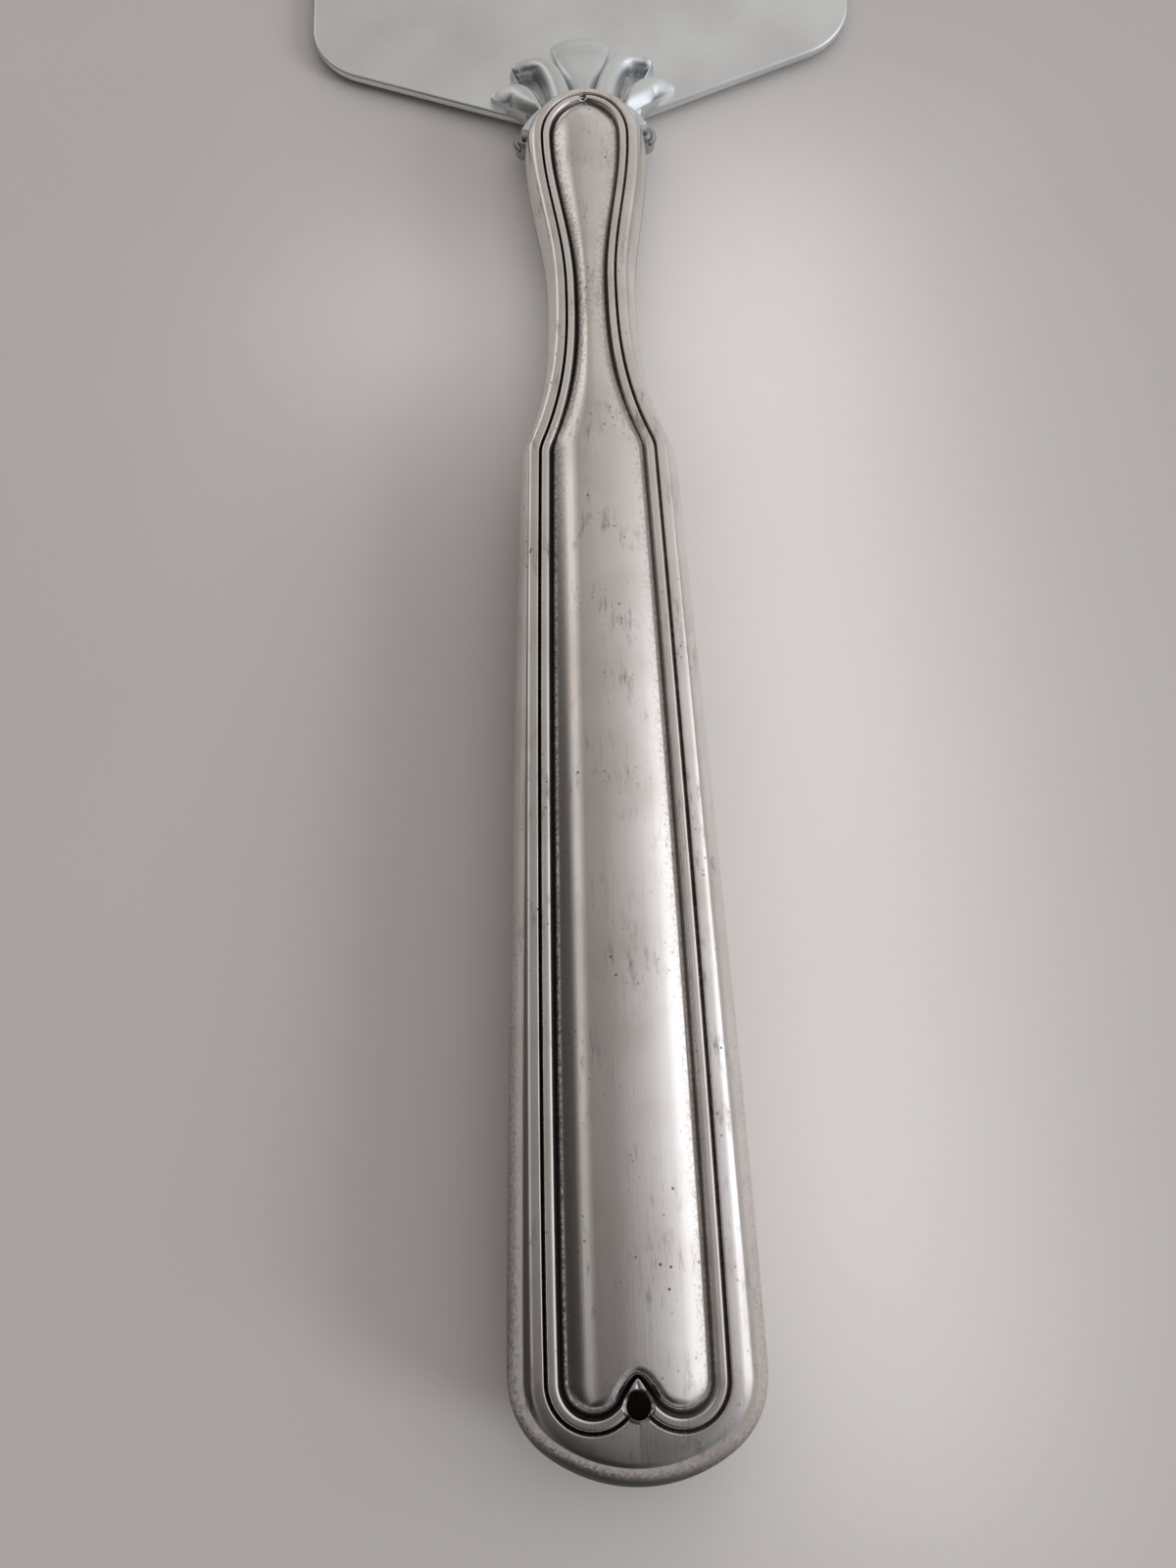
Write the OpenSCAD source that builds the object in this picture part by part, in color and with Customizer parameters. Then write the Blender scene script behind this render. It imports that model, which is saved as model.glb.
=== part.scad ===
// Cake server: a flat blade, a cast palmette shell and a hollow handle struck in two halves.
// The pieces are drawn along +Y with the butt at y = 0 and the seam of the handle in z = 0.
// The last step lays the server down as it rests on a table.

/* [Handle] */
// Length of the handle from the butt to the front of the bulb
handle_l = 128; // [116:1:140]
// Width across the butt
butt_w = 19.1; // [18:0.1:21]
// Width across the shoulders
shoulder_w = 14.4; // [13:0.1:16]
// Width at the waist
waist_w = 8.6; // [8:0.1:9.6]
// Width of the bulb at the front
bulb_w = 12.4; // [11.6:0.1:13.2]
// Length of the rounded front of the bulb
bulb_front_l = 7.4; // [6.6:0.1:8.2]
// Shoulder corners, from the butt
shoulder_y = 84.5; // [80:0.5:88]
// Waist, from the butt
waist_y = 102; // [99:0.5:106]
// Thickness at the butt, over both crowns
butt_t = 10.8; // [10:0.1:12.5]
// Thickness at the shoulders
shoulder_t = 8.8; // [8.2:0.1:9.6]
// Thickness at the waist
waist_t = 6.8; // [6.4:0.1:7.4]
// Thickness of the bulb
bulb_t = 7.2; // [6.8:0.1:7.8]
// How far the butt bows out past its round corners
butt_bow = 1; // [0.6:0.1:1.5]
// Metal left between the deepest groove and the hollow
wall = 0.6; // [0.5:0.05:0.7]
// Thickness of the solder line between the halves
seam_t = 0.2; // [0.1:0.05:0.4]

/* [Thread border] */
// Step in of the rim from the widest line, at the butt
rim_in_butt = 2.1; // [1.8:0.05:2.3]
// Step in of the rim at the shoulders, the waist and the bulb
rim_in_neck = 1.05; // [0.95:0.05:1.2]
// Width of the flat rim
rim_band_w = 0.75; // [0.6:0.05:0.9]
// Width of the outer groove
outer_groove_w = 0.42; // [0.3:0.02:0.5]
// Width of the bead between the grooves
bead_w = 0.62; // [0.5:0.02:0.75]
// Width of the inner groove
inner_groove_w = 0.62; // [0.5:0.02:0.75]
// Depth of both grooves
groove_depth = 0.45; // [0.3:0.05:0.6]
// Height of the bead over the rim
bead_rise = 0.08; // [0:0.02:0.15]
// Drop of the rim at the butt end
butt_drop = 0.9; // [0.4:0.1:1.2]
// Drop of the rim at the front of the bulb
bulb_drop = 0.5; // [0.2:0.1:0.8]
// Width of the rounded edge along the panel's sides
edge_run = 3.5; // [3:0.1:4]
// Width of that edge under the lobes
lobe_run = 1.7; // [1.4:0.1:2]
// Width of that edge round the cusp
cusp_run = 0.9; // [0.7:0.1:1.2]
// Diameter of the vent hole
vent_d = 1.75; // [1.5:0.05:2]

/* [Blade] */
// Length of the blade from its root to its tip
blade_l = 140; // [120:1:160]
// Width across the base corners
blade_w = 59.6; // [54:0.2:66]
// Thickness of the blade
blade_t = 0.9; // [0.8:0.1:1.2]
// Radius of the base corners
blade_corner_r = 8; // [6:0.5:10]
// Radius of the tip
blade_tip_r = 13; // [10:0.5:16]
// Radius of the bow along each side
blade_bow_r = 330; // [260:10:600]
// Half width of the root, under the shell
root_half_w = 2.5; // [2:0.1:3.5]
// Slope of the base edges, in degrees
base_slope = 22; // [20:0.5:24]
// Drop of the blade below the handle's seam plane
blade_drop = 3.45; // [3.3:0.05:3.8]
// How far the root lies back under the bulb
root_under = 0.4; // [0:0.1:0.8]

/* [Shell] */
// Reach of the middle petal from the front of the bulb
middle_l = 11.6; // [11:0.1:12.4]
// Half width of the middle petal before its round end
middle_r = 3.8; // [3.4:0.1:4.2]
// Length of that round end
middle_end = 2.8; // [2.4:0.1:3.2]
// Half width of the middle petal beside the bulb
middle_foot = 1.3; // [1.1:0.05:1.5]
// Height of the middle petal over the blade, beside the bulb
middle_back_h = 4.2; // [3.8:0.1:4.6]
// Height of the middle petal over the blade, near its tip
middle_tip_h = 1.1; // [0.9:0.1:1.4]
// Foot of the upper ribs, out from the middle line
upper_foot_x = 1.7; // [1.5:0.1:2]
// Foot of the upper ribs, ahead of the bulb
upper_foot_y = 0.6; // [0.3:0.1:0.9]
// How far the upper ribs run ahead before they curl out
upper_rise = 4.6; // [4.2:0.1:5]
// Tip of the upper ribs, out from the middle line
upper_tip_x = 6.9; // [6.5:0.1:7.3]
// Tip of the upper ribs, ahead of the bulb
upper_tip_y = 7.2; // [6.8:0.1:7.6]
// Width of the gentle inner side of the upper ribs
upper_in = 2.1; // [1.8:0.1:2.4]
// Height of the upper ribs over the blade, beside the bulb
upper_foot_h = 3.7; // [3.4:0.1:4]
// Height of the upper ribs over the blade, at their tips
upper_tip_h = 1.7; // [1.4:0.1:2]
// Foot of the lower ribs, out from the middle line
lower_foot_x = 4.6; // [4.3:0.1:4.9]
// How far the foot of the lower ribs lies behind the front of the bulb
lower_foot_back = 1.2; // [0.9:0.1:1.5]
// How far the lower ribs run ahead before they curl out
lower_rise = 2.8; // [2.5:0.1:3.1]
// Tip of the lower ribs, out from the middle line
lower_tip_x = 9.1; // [8.7:0.1:9.5]
// Tip of the lower ribs, ahead of the bulb
lower_tip_y = 4.1; // [3.8:0.1:4.4]
// Width of the gentle inner side of the lower ribs
lower_in = 2.9; // [2.6:0.1:3.2]
// Height of the lower ribs over the blade, beside the bulb
lower_foot_h = 3.2; // [2.9:0.1:3.5]
// Height of the lower ribs over the blade, at their tips
lower_tip_h = 1.3; // [1.1:0.1:1.6]
// Width of the steep outer side of the ribs
rib_out = 0.95; // [0.8:0.05:1.1]
// Edge of the casting outside the petals
rib_edge = 0.35; // [0.25:0.05:0.45]
// Length of the curl at a rib's tip
curl_x = 3.3; // [3:0.1:3.6]
// How far that curl bows ahead of the tip
curl_y = 1.1; // [0.9:0.1:1.3]
// Rounding where petals meet
petal_blend = 0.35; // [0.25:0.05:0.45]
// Height of the valleys between the petals, beside the bulb
valley_h = 2; // [1.7:0.1:2.3]
// Height of the shell's rim over the blade
fan_rim_h = 0.25; // [0.2:0.05:0.4]
// Turn of the shell's lower edges from the middle line, in degrees
fan_turn = 55; // [52:1:57]
// Turn over which the shell thins out to its lower edges, in degrees
thin_turn = 16; // [13:1:19]
// Height of the collar round the front of the bulb
collar_h = 3; // [2.6:0.1:3.4]
// Width of the collar
collar_w = 1.2; // [1:0.1:1.4]
// Radius of the scrolls
scroll_r = 1.3; // [1.1:0.05:1.5]
// Middle of the scrolls, out from the bulb
scroll_out = 0.95; // [0.8:0.05:1.1]
// Height of the scrolls
scroll_h = 2; // [1.6:0.1:2.4]
// Place of the scrolls round the front of the bulb, in degrees from the side
scroll_turn = 29; // [26:1:32]

/* [Inside] */
// Length of the tang
tang_l = 62; // [50:1:70]
// Width of the tang
tang_w = 4.2; // [3.6:0.1:4.6]
// Thickness of the tang
tang_t = 1.6; // [1.4:0.1:1.8]
// Metal of the neck round the tang
neck_wall = 0.7; // [0.6:0.05:0.75]
// How far the neck reaches into the bulb
neck_in = 3.6; // [3.2:0.1:4]
// Thickness of the plate that closes the front of the handle
mouth_t = 1; // [0.8:0.1:1.3]
// Start of the cement, from the butt
core_from = 13; // [11:0.5:18]
// Gap left at every fit
fit = 0.05; // [0.03:0.01:0.1]

/* [Hidden] */

// Overrun of every cut
over = 1;
// Step for slopes taken from a curve, and the shortest length that counts
tiny = 0.01;
// Sides of the round pieces
round_sides = 48;

// Colours
silver = [0.80, 0.79, 0.77];
bright = [0.86, 0.85, 0.83];
solder_grey = [0.66, 0.64, 0.60];
cement_brown = [0.36, 0.26, 0.18];
steel = [0.52, 0.53, 0.55];

// Points along the parts of the outline
n_bulb = 8;
n_neck = 8;
n_flare = 9;
n_body = 9;
n_tail = 4;
n_lobe = 6;
n_cusp = 4;
// Columns across the panel and across the hollow
n_panel = 6;
n_hollow = 3;

// Thread lines, from the rim's outer edge inwards
e_rim = rim_band_w / 2;
e_outer_lip = rim_band_w;
e_outer_groove = e_outer_lip + outer_groove_w / 2;
e_bead_out = e_outer_lip + outer_groove_w;
e_crest = e_bead_out + bead_w / 2;
e_bead_in = e_bead_out + bead_w;
e_panel = e_bead_in + inner_groove_w / 2;
rim_rise = bead_rise / 2;

// Lobes of the butt: the beads round them touch on the middle line
lobe_x = (butt_w / 2 - rim_in_butt - e_bead_out) / 2;
corner_r = butt_w / 2 - lobe_x;
lobe_y = corner_r + butt_bow;
butt_end_y = lobe_y + corner_r;
end_r = (lobe_x * lobe_x + lobe_y * lobe_y - corner_r * corner_r) / (2 * butt_bow);
corner_turn = atan2(end_r - lobe_y, lobe_x);
lip_r = corner_r - rim_in_butt - e_outer_lip;
panel_r = corner_r - rim_in_butt - e_panel;
vent_y = lobe_y - sqrt(lip_r * lip_r - lobe_x * lobe_x);
// Turn round a lobe at which the thread lines leave it for the cusp
leave_turn = 180 - acos(lobe_x / lip_r);

// Bulb
bulb_r = bulb_w / 2;
bulb_y = handle_l - bulb_front_l;

// Shares that shape the curves
flare_power = 2.7;
body_power = 1.3;
edge_power = 3;
gentle_share = 0.42;
cusp_share = 0.3;
cusp_lean = 0.5;
cusp_blunt = 0.35;
blend_share = 0.07;
shoulder_blend = (shoulder_w - waist_w) * blend_share;
thread_shares = [1, 0.95, 0.87, 0.85];
wall_turn = 62;
wall_turns = [0, 22, 42, wall_turn];
hollow_turns = [0, 36, wall_turn];
hollow_share = 0.9;

// Sizes given at the butt, the shoulders, the waist and the bulb
stations = [lobe_y, shoulder_y, waist_y, bulb_y];
crown_share = [0.24, 0.24, 0.13, 0.21];
half_ts = [butt_t / 2, shoulder_t / 2, waist_t / 2, bulb_t / 2];
rim_ins = [rim_in_butt, rim_in_neck, rim_in_neck, rim_in_neck];

function mix(a, b, t) = a + (b - a) * t;
function clamp(v, lo, hi) = min(max(v, lo), hi);
function share_of(t) = clamp(t, 0, 1);

// Half a wave from 0 to 1, level at both ends
function ease(t) = (1 - cos(180 * t)) / 2;

// Point on the cubic curve with four corners
function curve_point(c, t) =
    let (u = 1 - t)
    c[0] * u * u * u + 3 * c[1] * t * u * u + 3 * c[2] * t * t * u + c[3] * t * t * t;

// The lower of two curves, with the corner between them rounded
function soft_min(a, b, k) = min(a, b) - pow(max(k - abs(a - b), 0), 2) / (4 * k);

// A smooth curve through one value at each station
function span_at(y, i = 0) = i >= len(stations) - 2 || y <= stations[i + 1] ? i : span_at(y, i + 1);
function station_slope(v, i) =
    let (lo = max(i - 1, 0), hi = min(i + 1, len(stations) - 1))
    (v[hi] - v[lo]) / (stations[hi] - stations[lo]);
function along(v, y) =
    let (
        i = span_at(y),
        run = stations[i + 1] - stations[i],
        t = share_of((y - stations[i]) / run),
        bend = t * (1 - t)
    )
    mix(v[i], v[i + 1], t * t * (3 - 2 * t))
    + bend * run * (station_slope(v, i) * (1 - t) - station_slope(v, i + 1) * t);

// Half width of the handle between the butt's corners and the bulb
function neck_half(y) =
    mix(bulb_r, waist_w / 2, ease(share_of((bulb_y - y) / (bulb_y - waist_y))));
function flare_half(y) =
    waist_w / 2 + (shoulder_w - waist_w) / 2 * pow((waist_y - y) / (waist_y - shoulder_y), flare_power);
function body_half(y) =
    butt_w / 2
    - (butt_w - shoulder_w) / 2 * pow(max(y - lobe_y, 0) / (shoulder_y - lobe_y), body_power);
function half_w(y) = y >= waist_y ? neck_half(y) : soft_min(flare_half(y), body_half(y), shoulder_blend);
function half_slope(y) = (half_w(y + tiny) - half_w(y - tiny)) / (2 * tiny);

// Step in of the rim, and height of the rim and of the crown over the seam plane
function rim_in(y) = along(rim_ins, y);
function thread(y, e) = rim_in(y) + along(thread_shares, y) * e;
function end_fall(y) =
    butt_drop * pow(max(lobe_y - y, 0) / lobe_y, 2) + bulb_drop * pow(max(y - bulb_y, 0) / bulb_front_l, 2);
function crown_rise(y) = along(half_ts, y) * along(crown_share, y);
function rim_z(y) = along(half_ts, y) - crown_rise(y) - end_fall(y);

// Distance from the lobe's middle to the butt's outline stepped in by d, at an angle below the side
function butt_reach(a, d) =
    a <= corner_turn
    ? corner_r - d
    : let (
        b = lobe_x * cos(a) + (end_r - lobe_y) * sin(a),
        c = lobe_x * lobe_x + pow(end_r - lobe_y, 2) - pow(end_r - d, 2)
    ) sqrt(b * b - c) - b;

// Points round the right half of the outline, from the front of the bulb to the middle of the butt
cusp_y = lobe_y + cusp_share * (lobe_x - panel_r);
side_ys = concat(
    [for (i = [0:n_neck - 1]) mix(bulb_y, waist_y, i / n_neck)],
    [for (i = [0:n_flare - 1]) mix(waist_y, shoulder_y - rim_in_neck, i / n_flare)],
    [for (i = [0:n_body - 1]) mix(shoulder_y - rim_in_neck, butt_end_y, i / n_body)],
    [for (i = [0:n_tail - 1]) mix(butt_end_y, cusp_y, i / n_tail)],
    [for (i = [0:n_cusp - 1]) mix(cusp_y, lobe_y, i / n_cusp)]
);
function bulb_point(a, d) =
    let (out = [cos(a) / bulb_r, sin(a) / bulb_front_l])
    [bulb_r * cos(a), bulb_y + bulb_front_l * sin(a)] - d * out / norm(out);
function bulb_points(d) = [for (i = [0:n_bulb - 1]) bulb_point(90 - 90 * i / n_bulb, d)];
function side_point(y, d) =
    let (m = half_slope(y), n = sqrt(1 + m * m)) [half_w(y) - d / n, y + d * m / n];
function lobe_point(r, a) = [lobe_x + r * cos(a), lobe_y - r * sin(a)];

// From the side of the butt to under the lobe
function corner_points(d, share) =
    [for (i = [0:n_lobe - 1]) let (a = 90 * i / n_lobe)
        lobe_point(mix(lip_r, butt_reach(a, d), share), a)];

// From under the lobe to the middle line: along the butt, or round the lobe and up an ogee to the cusp
function end_point(d, t) =
    let (x = lobe_x * (1 - t)) [x, end_r - sqrt(pow(end_r - d, 2) - x * x)];
function cusp_point(r, leave, t) =
    let (
        half = lobe_x - r,
        from = lobe_point(r, leave),
        top = [0, lobe_y + cusp_share * half],
        lean = cusp_lean * half * [-sin(leave), -cos(leave)]
    )
    curve_point([from, from + lean, top + [cusp_blunt * half, 0], top], t);
function lobe_end(r, i) =
    let (meet = 180 - acos(min(lobe_x / r, 1)), leave = min(leave_turn, meet), t = (i - n_lobe) / n_cusp)
    t <= 0
    ? lobe_point(r, mix(90, leave, i / n_lobe))
    : r < lobe_x - tiny ? cusp_point(r, leave, t) : lobe_point(r, mix(leave, meet, t));
n_end = n_lobe + n_cusp;
function tail_points(d, share, r) =
    [for (i = [0:n_end])
        share > 0
        ? mix(lobe_end(lip_r, i), end_point(d, min(i / n_lobe, 1)), share)
        : lobe_end(r, i)];

// One line round the border: the wall lines are stepped in from the outline, the thread lines from the rim
function wall_line(turn) =
    let (part = (1 - cos(turn)) / (1 - cos(wall_turn)))
    concat(
        bulb_points(part * rim_in_neck),
        [for (y = side_ys) side_point(y, part * rim_in(y))],
        corner_points(part * rim_in_butt, 1),
        tail_points(part * rim_in_butt, 1, corner_r)
    );
function thread_line(e) =
    let (share = max(1 - e / e_outer_lip, 0), r = corner_r - rim_in_butt - e)
    concat(
        bulb_points(thread(bulb_y, e)),
        [for (y = side_ys) side_point(y, thread(y, e))],
        share > 0
        ? corner_points(rim_in_butt, share)
        : [for (i = [0:n_lobe - 1]) lobe_point(r, 90 * i / n_lobe)],
        tail_points(rim_in_butt, share, r)
    );
function inset_line(d) =
    concat(
        bulb_points(d[1]),
        [for (y = side_ys) side_point(y, along([d[0], d[1], d[1], d[1]], y))],
        corner_points(d[0], 1),
        tail_points(d[0], 1, corner_r)
    );
function raised(line, dz) = [for (p = line) [p[0], p[1], rim_z(p[1]) + dz]];
// The outer groove ends at the vent, and the beads run together above it
function bead_fill(p) =
    p[1] > cusp_y
    ? 0
    : ease(share_of(2 - 2 * p[0] / bead_w)) * ease(share_of(2 * (p[1] - vent_y) / vent_d));
function outer_groove(line) = [for (p = line) [p[0], p[1], rim_z(p[1]) - groove_depth * (1 - bead_fill(p))]];
function wall_raised(line, turn, base, cut) =
    [for (p = line) [p[0], p[1], mix(base, rim_z(p[1]) - cut, sin(turn) / sin(wall_turn))]];

// The outside of the border, from the seam to the edge of the panel
function border_lines() =
    concat(
        [for (turn = wall_turns) wall_raised(wall_line(turn), turn, seam_t / 2, 0)],
        [
            raised(thread_line(e_rim), rim_rise),
            raised(thread_line(e_outer_lip), 0),
            outer_groove(thread_line(e_outer_groove)),
            raised(thread_line(e_bead_out), 0),
            raised(thread_line(e_crest), bead_rise),
            raised(thread_line(e_bead_in), 0),
            raised(thread_line(e_panel), -groove_depth)
        ]
    );

// Height of the panel: a rounded edge that rises out of the inner groove, then a gentle crown
panel_front_l = bulb_front_l - thread(bulb_y, e_panel);
function panel_half(y) = let (v = clamp(y, lobe_y, bulb_y)) half_w(v) - thread(v, e_panel);
function panel_z(p, share) =
    let (
        edge = 1 - pow(1 - share_of(share), edge_power),
        out = pow(p[0] / panel_half(p[1]), 2) + pow(max(p[1] - bulb_y, 0) / bulb_front_l, 2),
        crown = crown_rise(p[1]) * (1 - gentle_share * out)
    )
    rim_z(p[1]) - groove_depth + (crown + groove_depth) * edge;

// Share of the way in over the rounded edge: at the butt it counts from the nearest part of the edge
butt_runs = concat(
    [for (i = [1:n_tail + n_cusp]) edge_run],
    [for (i = [0:n_lobe - 1]) mix(edge_run, lobe_run, ease(i / n_lobe))],
    [for (i = [0:n_lobe - 1]) mix(lobe_run, cusp_run, i / n_lobe)],
    [for (i = [0:n_cusp]) cusp_run]
);
function share_from(p, a, b, run_a, run_b) =
    let (way = b - a, t = norm(way) > 0 ? share_of((p - a) * way / (way * way)) : 0)
    norm(p - a - way * t) / mix(run_a, run_b, t);
function side_gap(p, half) =
    p[1] > bulb_y ? half * (1 - norm([p[0] / half, (p[1] - bulb_y) / panel_front_l])) : half - p[0];
function edge_share(p, butt) =
    p[1] < butt_end_y
    ? min([for (i = [0:len(butt) - 2]) share_from(p, butt[i], butt[i + 1], butt_runs[i], butt_runs[i + 1])])
    : let (half = panel_half(p[1])) side_gap(p, half) / min(edge_run, half);

// Rows across the right half of the panel, from the middle line or the cusp to the panel's edge
n_side = n_bulb + len(side_ys);
function panel_rows() =
    let (
        edge = thread_line(e_panel),
        last = len(edge) - 1,
        split = n_side - n_cusp,
        butt = [for (i = [split - n_tail:last]) edge[i]]
    )
    [for (i = [0:n_side + n_lobe])
        let (outer = edge[i], inner = i < split ? [0, outer[1]] : edge[last - (i - split)])
        [for (k = [0:n_panel])
            let (
                t = k / n_panel,
                p = mix(inner, outer, i < split - n_tail ? sin(90 * t) : ease(t)),
                on_edge = k == n_panel || k == 0 && i >= split
            )
            [p[0], p[1], panel_z(p, on_edge ? 0 : edge_share(p, butt))]]];

// The hollow inside a half: wall lines, then rows across its ceiling
function hollow_line(turn, gap) =
    let (part = (1 - cos(turn)) / (1 - cos(wall_turn)))
    inset_line([wall + gap + part * rim_in_butt, wall + gap + part * rim_in_neck]);
function hollow_lines(gap, base) =
    [for (turn = hollow_turns) wall_raised(hollow_line(turn, gap), turn, base, wall + groove_depth + gap)];
function hollow_rows(gap) =
    let (edge = hollow_lines(gap, 0)[len(hollow_turns) - 1])
    [for (p = edge)
        [for (k = [0:n_hollow])
            let (x = p[0] * k / n_hollow)
            [x, p[1], p[2] + (k < n_hollow ? hollow_rise(x, p[1]) : 0)]]];
// The ceiling rises under the panel only, and stays low at the vent and at the front of the bulb
function hollow_rise(x, y) =
    hollow_share * crown_rise(y)
    * max(1 - pow(x / panel_half(y), 2), 0)
    * share_of((y - lobe_y) / corner_r)
    * (1 - pow(share_of((y - bulb_y) / panel_front_l), 2));

// A grid of points and its triangles, for one side and for its mirror image
function flat_list(rows) = [for (row = rows) each row];
function grid_faces(rows, cols, from, turned) =
    [for (i = [0:rows - 2], k = [0:cols - 2])
        let (a = from + i * cols + k, b = a + 1, c = a + cols + 1, d = a + cols)
        each turned ? [[a, c, b], [a, d, c]] : [[a, b, c], [a, c, d]]];
function mirrored(points) = [for (p = points) [-p[0], p[1], p[2]]];
function under(points) = [for (p = points) [p[0], p[1], -p[2]]];
function no_slivers(faces, points) =
    [for (f = faces)
        let (a = points[f[0]], b = points[f[1]], c = points[f[2]])
        if (norm(cross(b - a, c - a)) > tiny * tiny) f];

// A closed solid from grids for the right side, each given as [rows, turned]
module two_sided(grids) {
    counts = [for (g = grids) len(g[0]) * len(g[0][0])];
    starts = [for (i = 0, s = 0; i < len(grids); s = s + counts[i], i = i + 1) s];
    right = [for (g = grids) each flat_list(g[0])];
    half = len(right);
    points = concat(right, mirrored(right));
    faces = [for (i = [0:len(grids) - 1], side = [0, 1])
        each grid_faces(len(grids[i][0]), len(grids[i][0][0]), starts[i] + side * half,
                        side == 0 ? grids[i][1] : !grids[i][1])];
    polyhedron(points, no_slivers(faces, points));
}

module half_shell() {
    border = border_lines();
    hollow = hollow_lines(0, seam_t / 2);
    two_sided([
        [border, false],
        [panel_rows(), false],
        [[border[0], hollow[0]], true],
        [hollow, true],
        [hollow_rows(0), true]
    ]);
}

// The space inside both halves, less a gap
module hollow_space(gap) {
    hollow = hollow_lines(gap, 0);
    rows = hollow_rows(gap);
    two_sided([
        [hollow, false],
        [rows, false],
        [[for (line = hollow) under(line)], true],
        [[for (row = rows) under(row)], true]
    ]);
}

// Opening in the front of the bulb for the neck
neck_w = tang_w + 2 * neck_wall;
neck_t = tang_t + 2 * neck_wall;
module neck_opening(gap) {
    translate([-neck_w / 2 - gap, bulb_y, -neck_t / 2 - gap])
        cube([neck_w + 2 * gap, bulb_front_l + over, neck_t + 2 * gap]);
}

module upper_handle_shell() {
    color(silver) difference() {
        half_shell();
        neck_opening(fit);
        translate([0, vent_y, 0]) cylinder(d = vent_d, h = butt_t, $fn = round_sides);
    }
}

module lower_handle_shell() {
    color(silver) mirror([0, 0, 1]) difference() {
        half_shell();
        neck_opening(fit);
    }
}

module solder_seam() {
    outer = wall_line(0);
    inner = hollow_line(0, 0);
    last = len(outer) - 1 - n_cusp;
    loop = function (line)
        concat([for (i = [0:last]) line[i]], [for (i = [last - 1:-1:1]) [-line[i][0], line[i][1]]]);
    n = 2 * last;
    paths = [[for (i = [0:n - 1]) i], [for (i = [0:n - 1]) n + i]];
    color(solder_grey) translate([0, 0, -seam_t / 2]) difference() {
        linear_extrude(seam_t) polygon(concat(loop(outer), loop(inner)), paths);
        translate([0, 0, seam_t / 2]) neck_opening(fit);
    }
}

// The plate sits behind the neck's front part, and the cement behind the plate
neck_back = handle_l - neck_in;
mouth_y = neck_back - mouth_t;
tang_front = handle_l;
tang_back = tang_front - tang_l;

module slab(from, to) {
    translate([-butt_w, from, -butt_t]) cube([2 * butt_w, to - from, 2 * butt_t]);
}

tang_tip_share = 0.5;
module tang_blank(gap) {
    tip_half = tang_w / 2 * tang_tip_share;
    wide = tang_w / 2 + gap;
    translate([0, 0, -tang_t / 2 - gap])
        linear_extrude(tang_t + 2 * gap)
            polygon([[-wide, tang_front + gap], [wide, tang_front + gap], [wide, neck_back - tang_w],
                     [tip_half + gap, tang_back - gap], [-tip_half - gap, tang_back - gap],
                     [-wide, neck_back - tang_w]]);
}

module mouth_plate() {
    color(steel) difference() {
        intersection() {
            hollow_space(fit);
            slab(mouth_y, neck_back - fit);
        }
        tang_blank(fit);
    }
}

module handle_core() {
    color(cement_brown) difference() {
        intersection() {
            hollow_space(fit);
            slab(core_from, mouth_y - fit);
        }
        tang_blank(fit);
    }
}

module tang() {
    color(steel) tang_blank(0);
}

// Levels of the blade
blade_top = blade_t / 2 - blade_drop;
root_y = handle_l - root_under;
tip_y = root_y + blade_l;

// The shell's height over the blade: a middle petal with a round end, and two ribs on each side that run
// ahead and curl out, steep outside and gentle inside. Points are given ahead of the bulb.
round_power = 0.55;
flat_power = 4;
end_power = 2.4;
back_power = 1.5;
valley_power = 0.7;
foot_lean = 0.18;
tip_share = 0.6;
n_rib = 12;
middle_y = middle_l - middle_end;
function soft_max(a, b, k) = -soft_min(-a, -b, k);
function rib_path(foot, rise, tip) =
    let (corners = [foot, foot + rise * [foot_lean, 1], tip + [-curl_x, curl_y], tip])
    [for (i = [0:n_rib]) curve_point(corners, i / n_rib)];
upper_path = rib_path([upper_foot_x, upper_foot_y], upper_rise, [upper_tip_x, upper_tip_y]);
lower_path = rib_path([lower_foot_x, -lower_foot_back], lower_rise, [lower_tip_x, lower_tip_y]);

// Distance from a path's nearest part, the share of the path passed there and the side: -1 inside, 1 outside
function near_part(p, a, b, i) =
    let (
        way = b - a,
        t = share_of((p - a) * way / (way * way)),
        gap = p - a - t * way,
        far = norm(gap)
    )
    [far, (i + t) / n_rib, far > 0 ? (way[0] * gap[1] - way[1] * gap[0]) / (norm(way) * far) : 0];
function near_path(p, path) =
    let (
        parts = [for (i = [0:n_rib - 1]) near_part(p, path[i], path[i + 1], i)],
        least = min([for (part = parts) part[0]])
    )
    [for (part = parts) if (part[0] == least) part][0];
function rib_w(inside, t, side) = mix(inside, rib_out, ease((1 + side) / 2)) * mix(1, tip_share, t);
function rib_h(p, path, inside, foot_h, tip_h) =
    let (
        near = near_path(p, path),
        q = near[0] / rib_w(inside, near[1], near[2]),
        power = mix(flat_power, 2, (1 + near[2]) / 2)
    )
    mix(foot_h, tip_h, near[1]) * pow(max(1 - pow(q, power), 0), round_power);
function middle_share(p) =
    p[1] > middle_y
    ? pow(
        pow(abs(p[0]) / middle_r, end_power) + pow((p[1] - middle_y) / middle_end, end_power),
        1 / end_power
    )
    : abs(p[0]) / mix(middle_foot, middle_r, pow(max(p[1] / middle_y, 0), 2));
function middle_h(p) =
    pow(max(1 - pow(middle_share(p), flat_power), 0), round_power)
    * mix(middle_tip_h, middle_back_h, pow(1 - share_of(p[1] / middle_y), back_power));
function petal_h(p) =
    soft_max(
        soft_max(middle_h(p), rib_h(p, upper_path, upper_in, upper_foot_h, upper_tip_h), petal_blend),
        rib_h(p, lower_path, lower_in, lower_foot_h, lower_tip_h),
        petal_blend
    );

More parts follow.
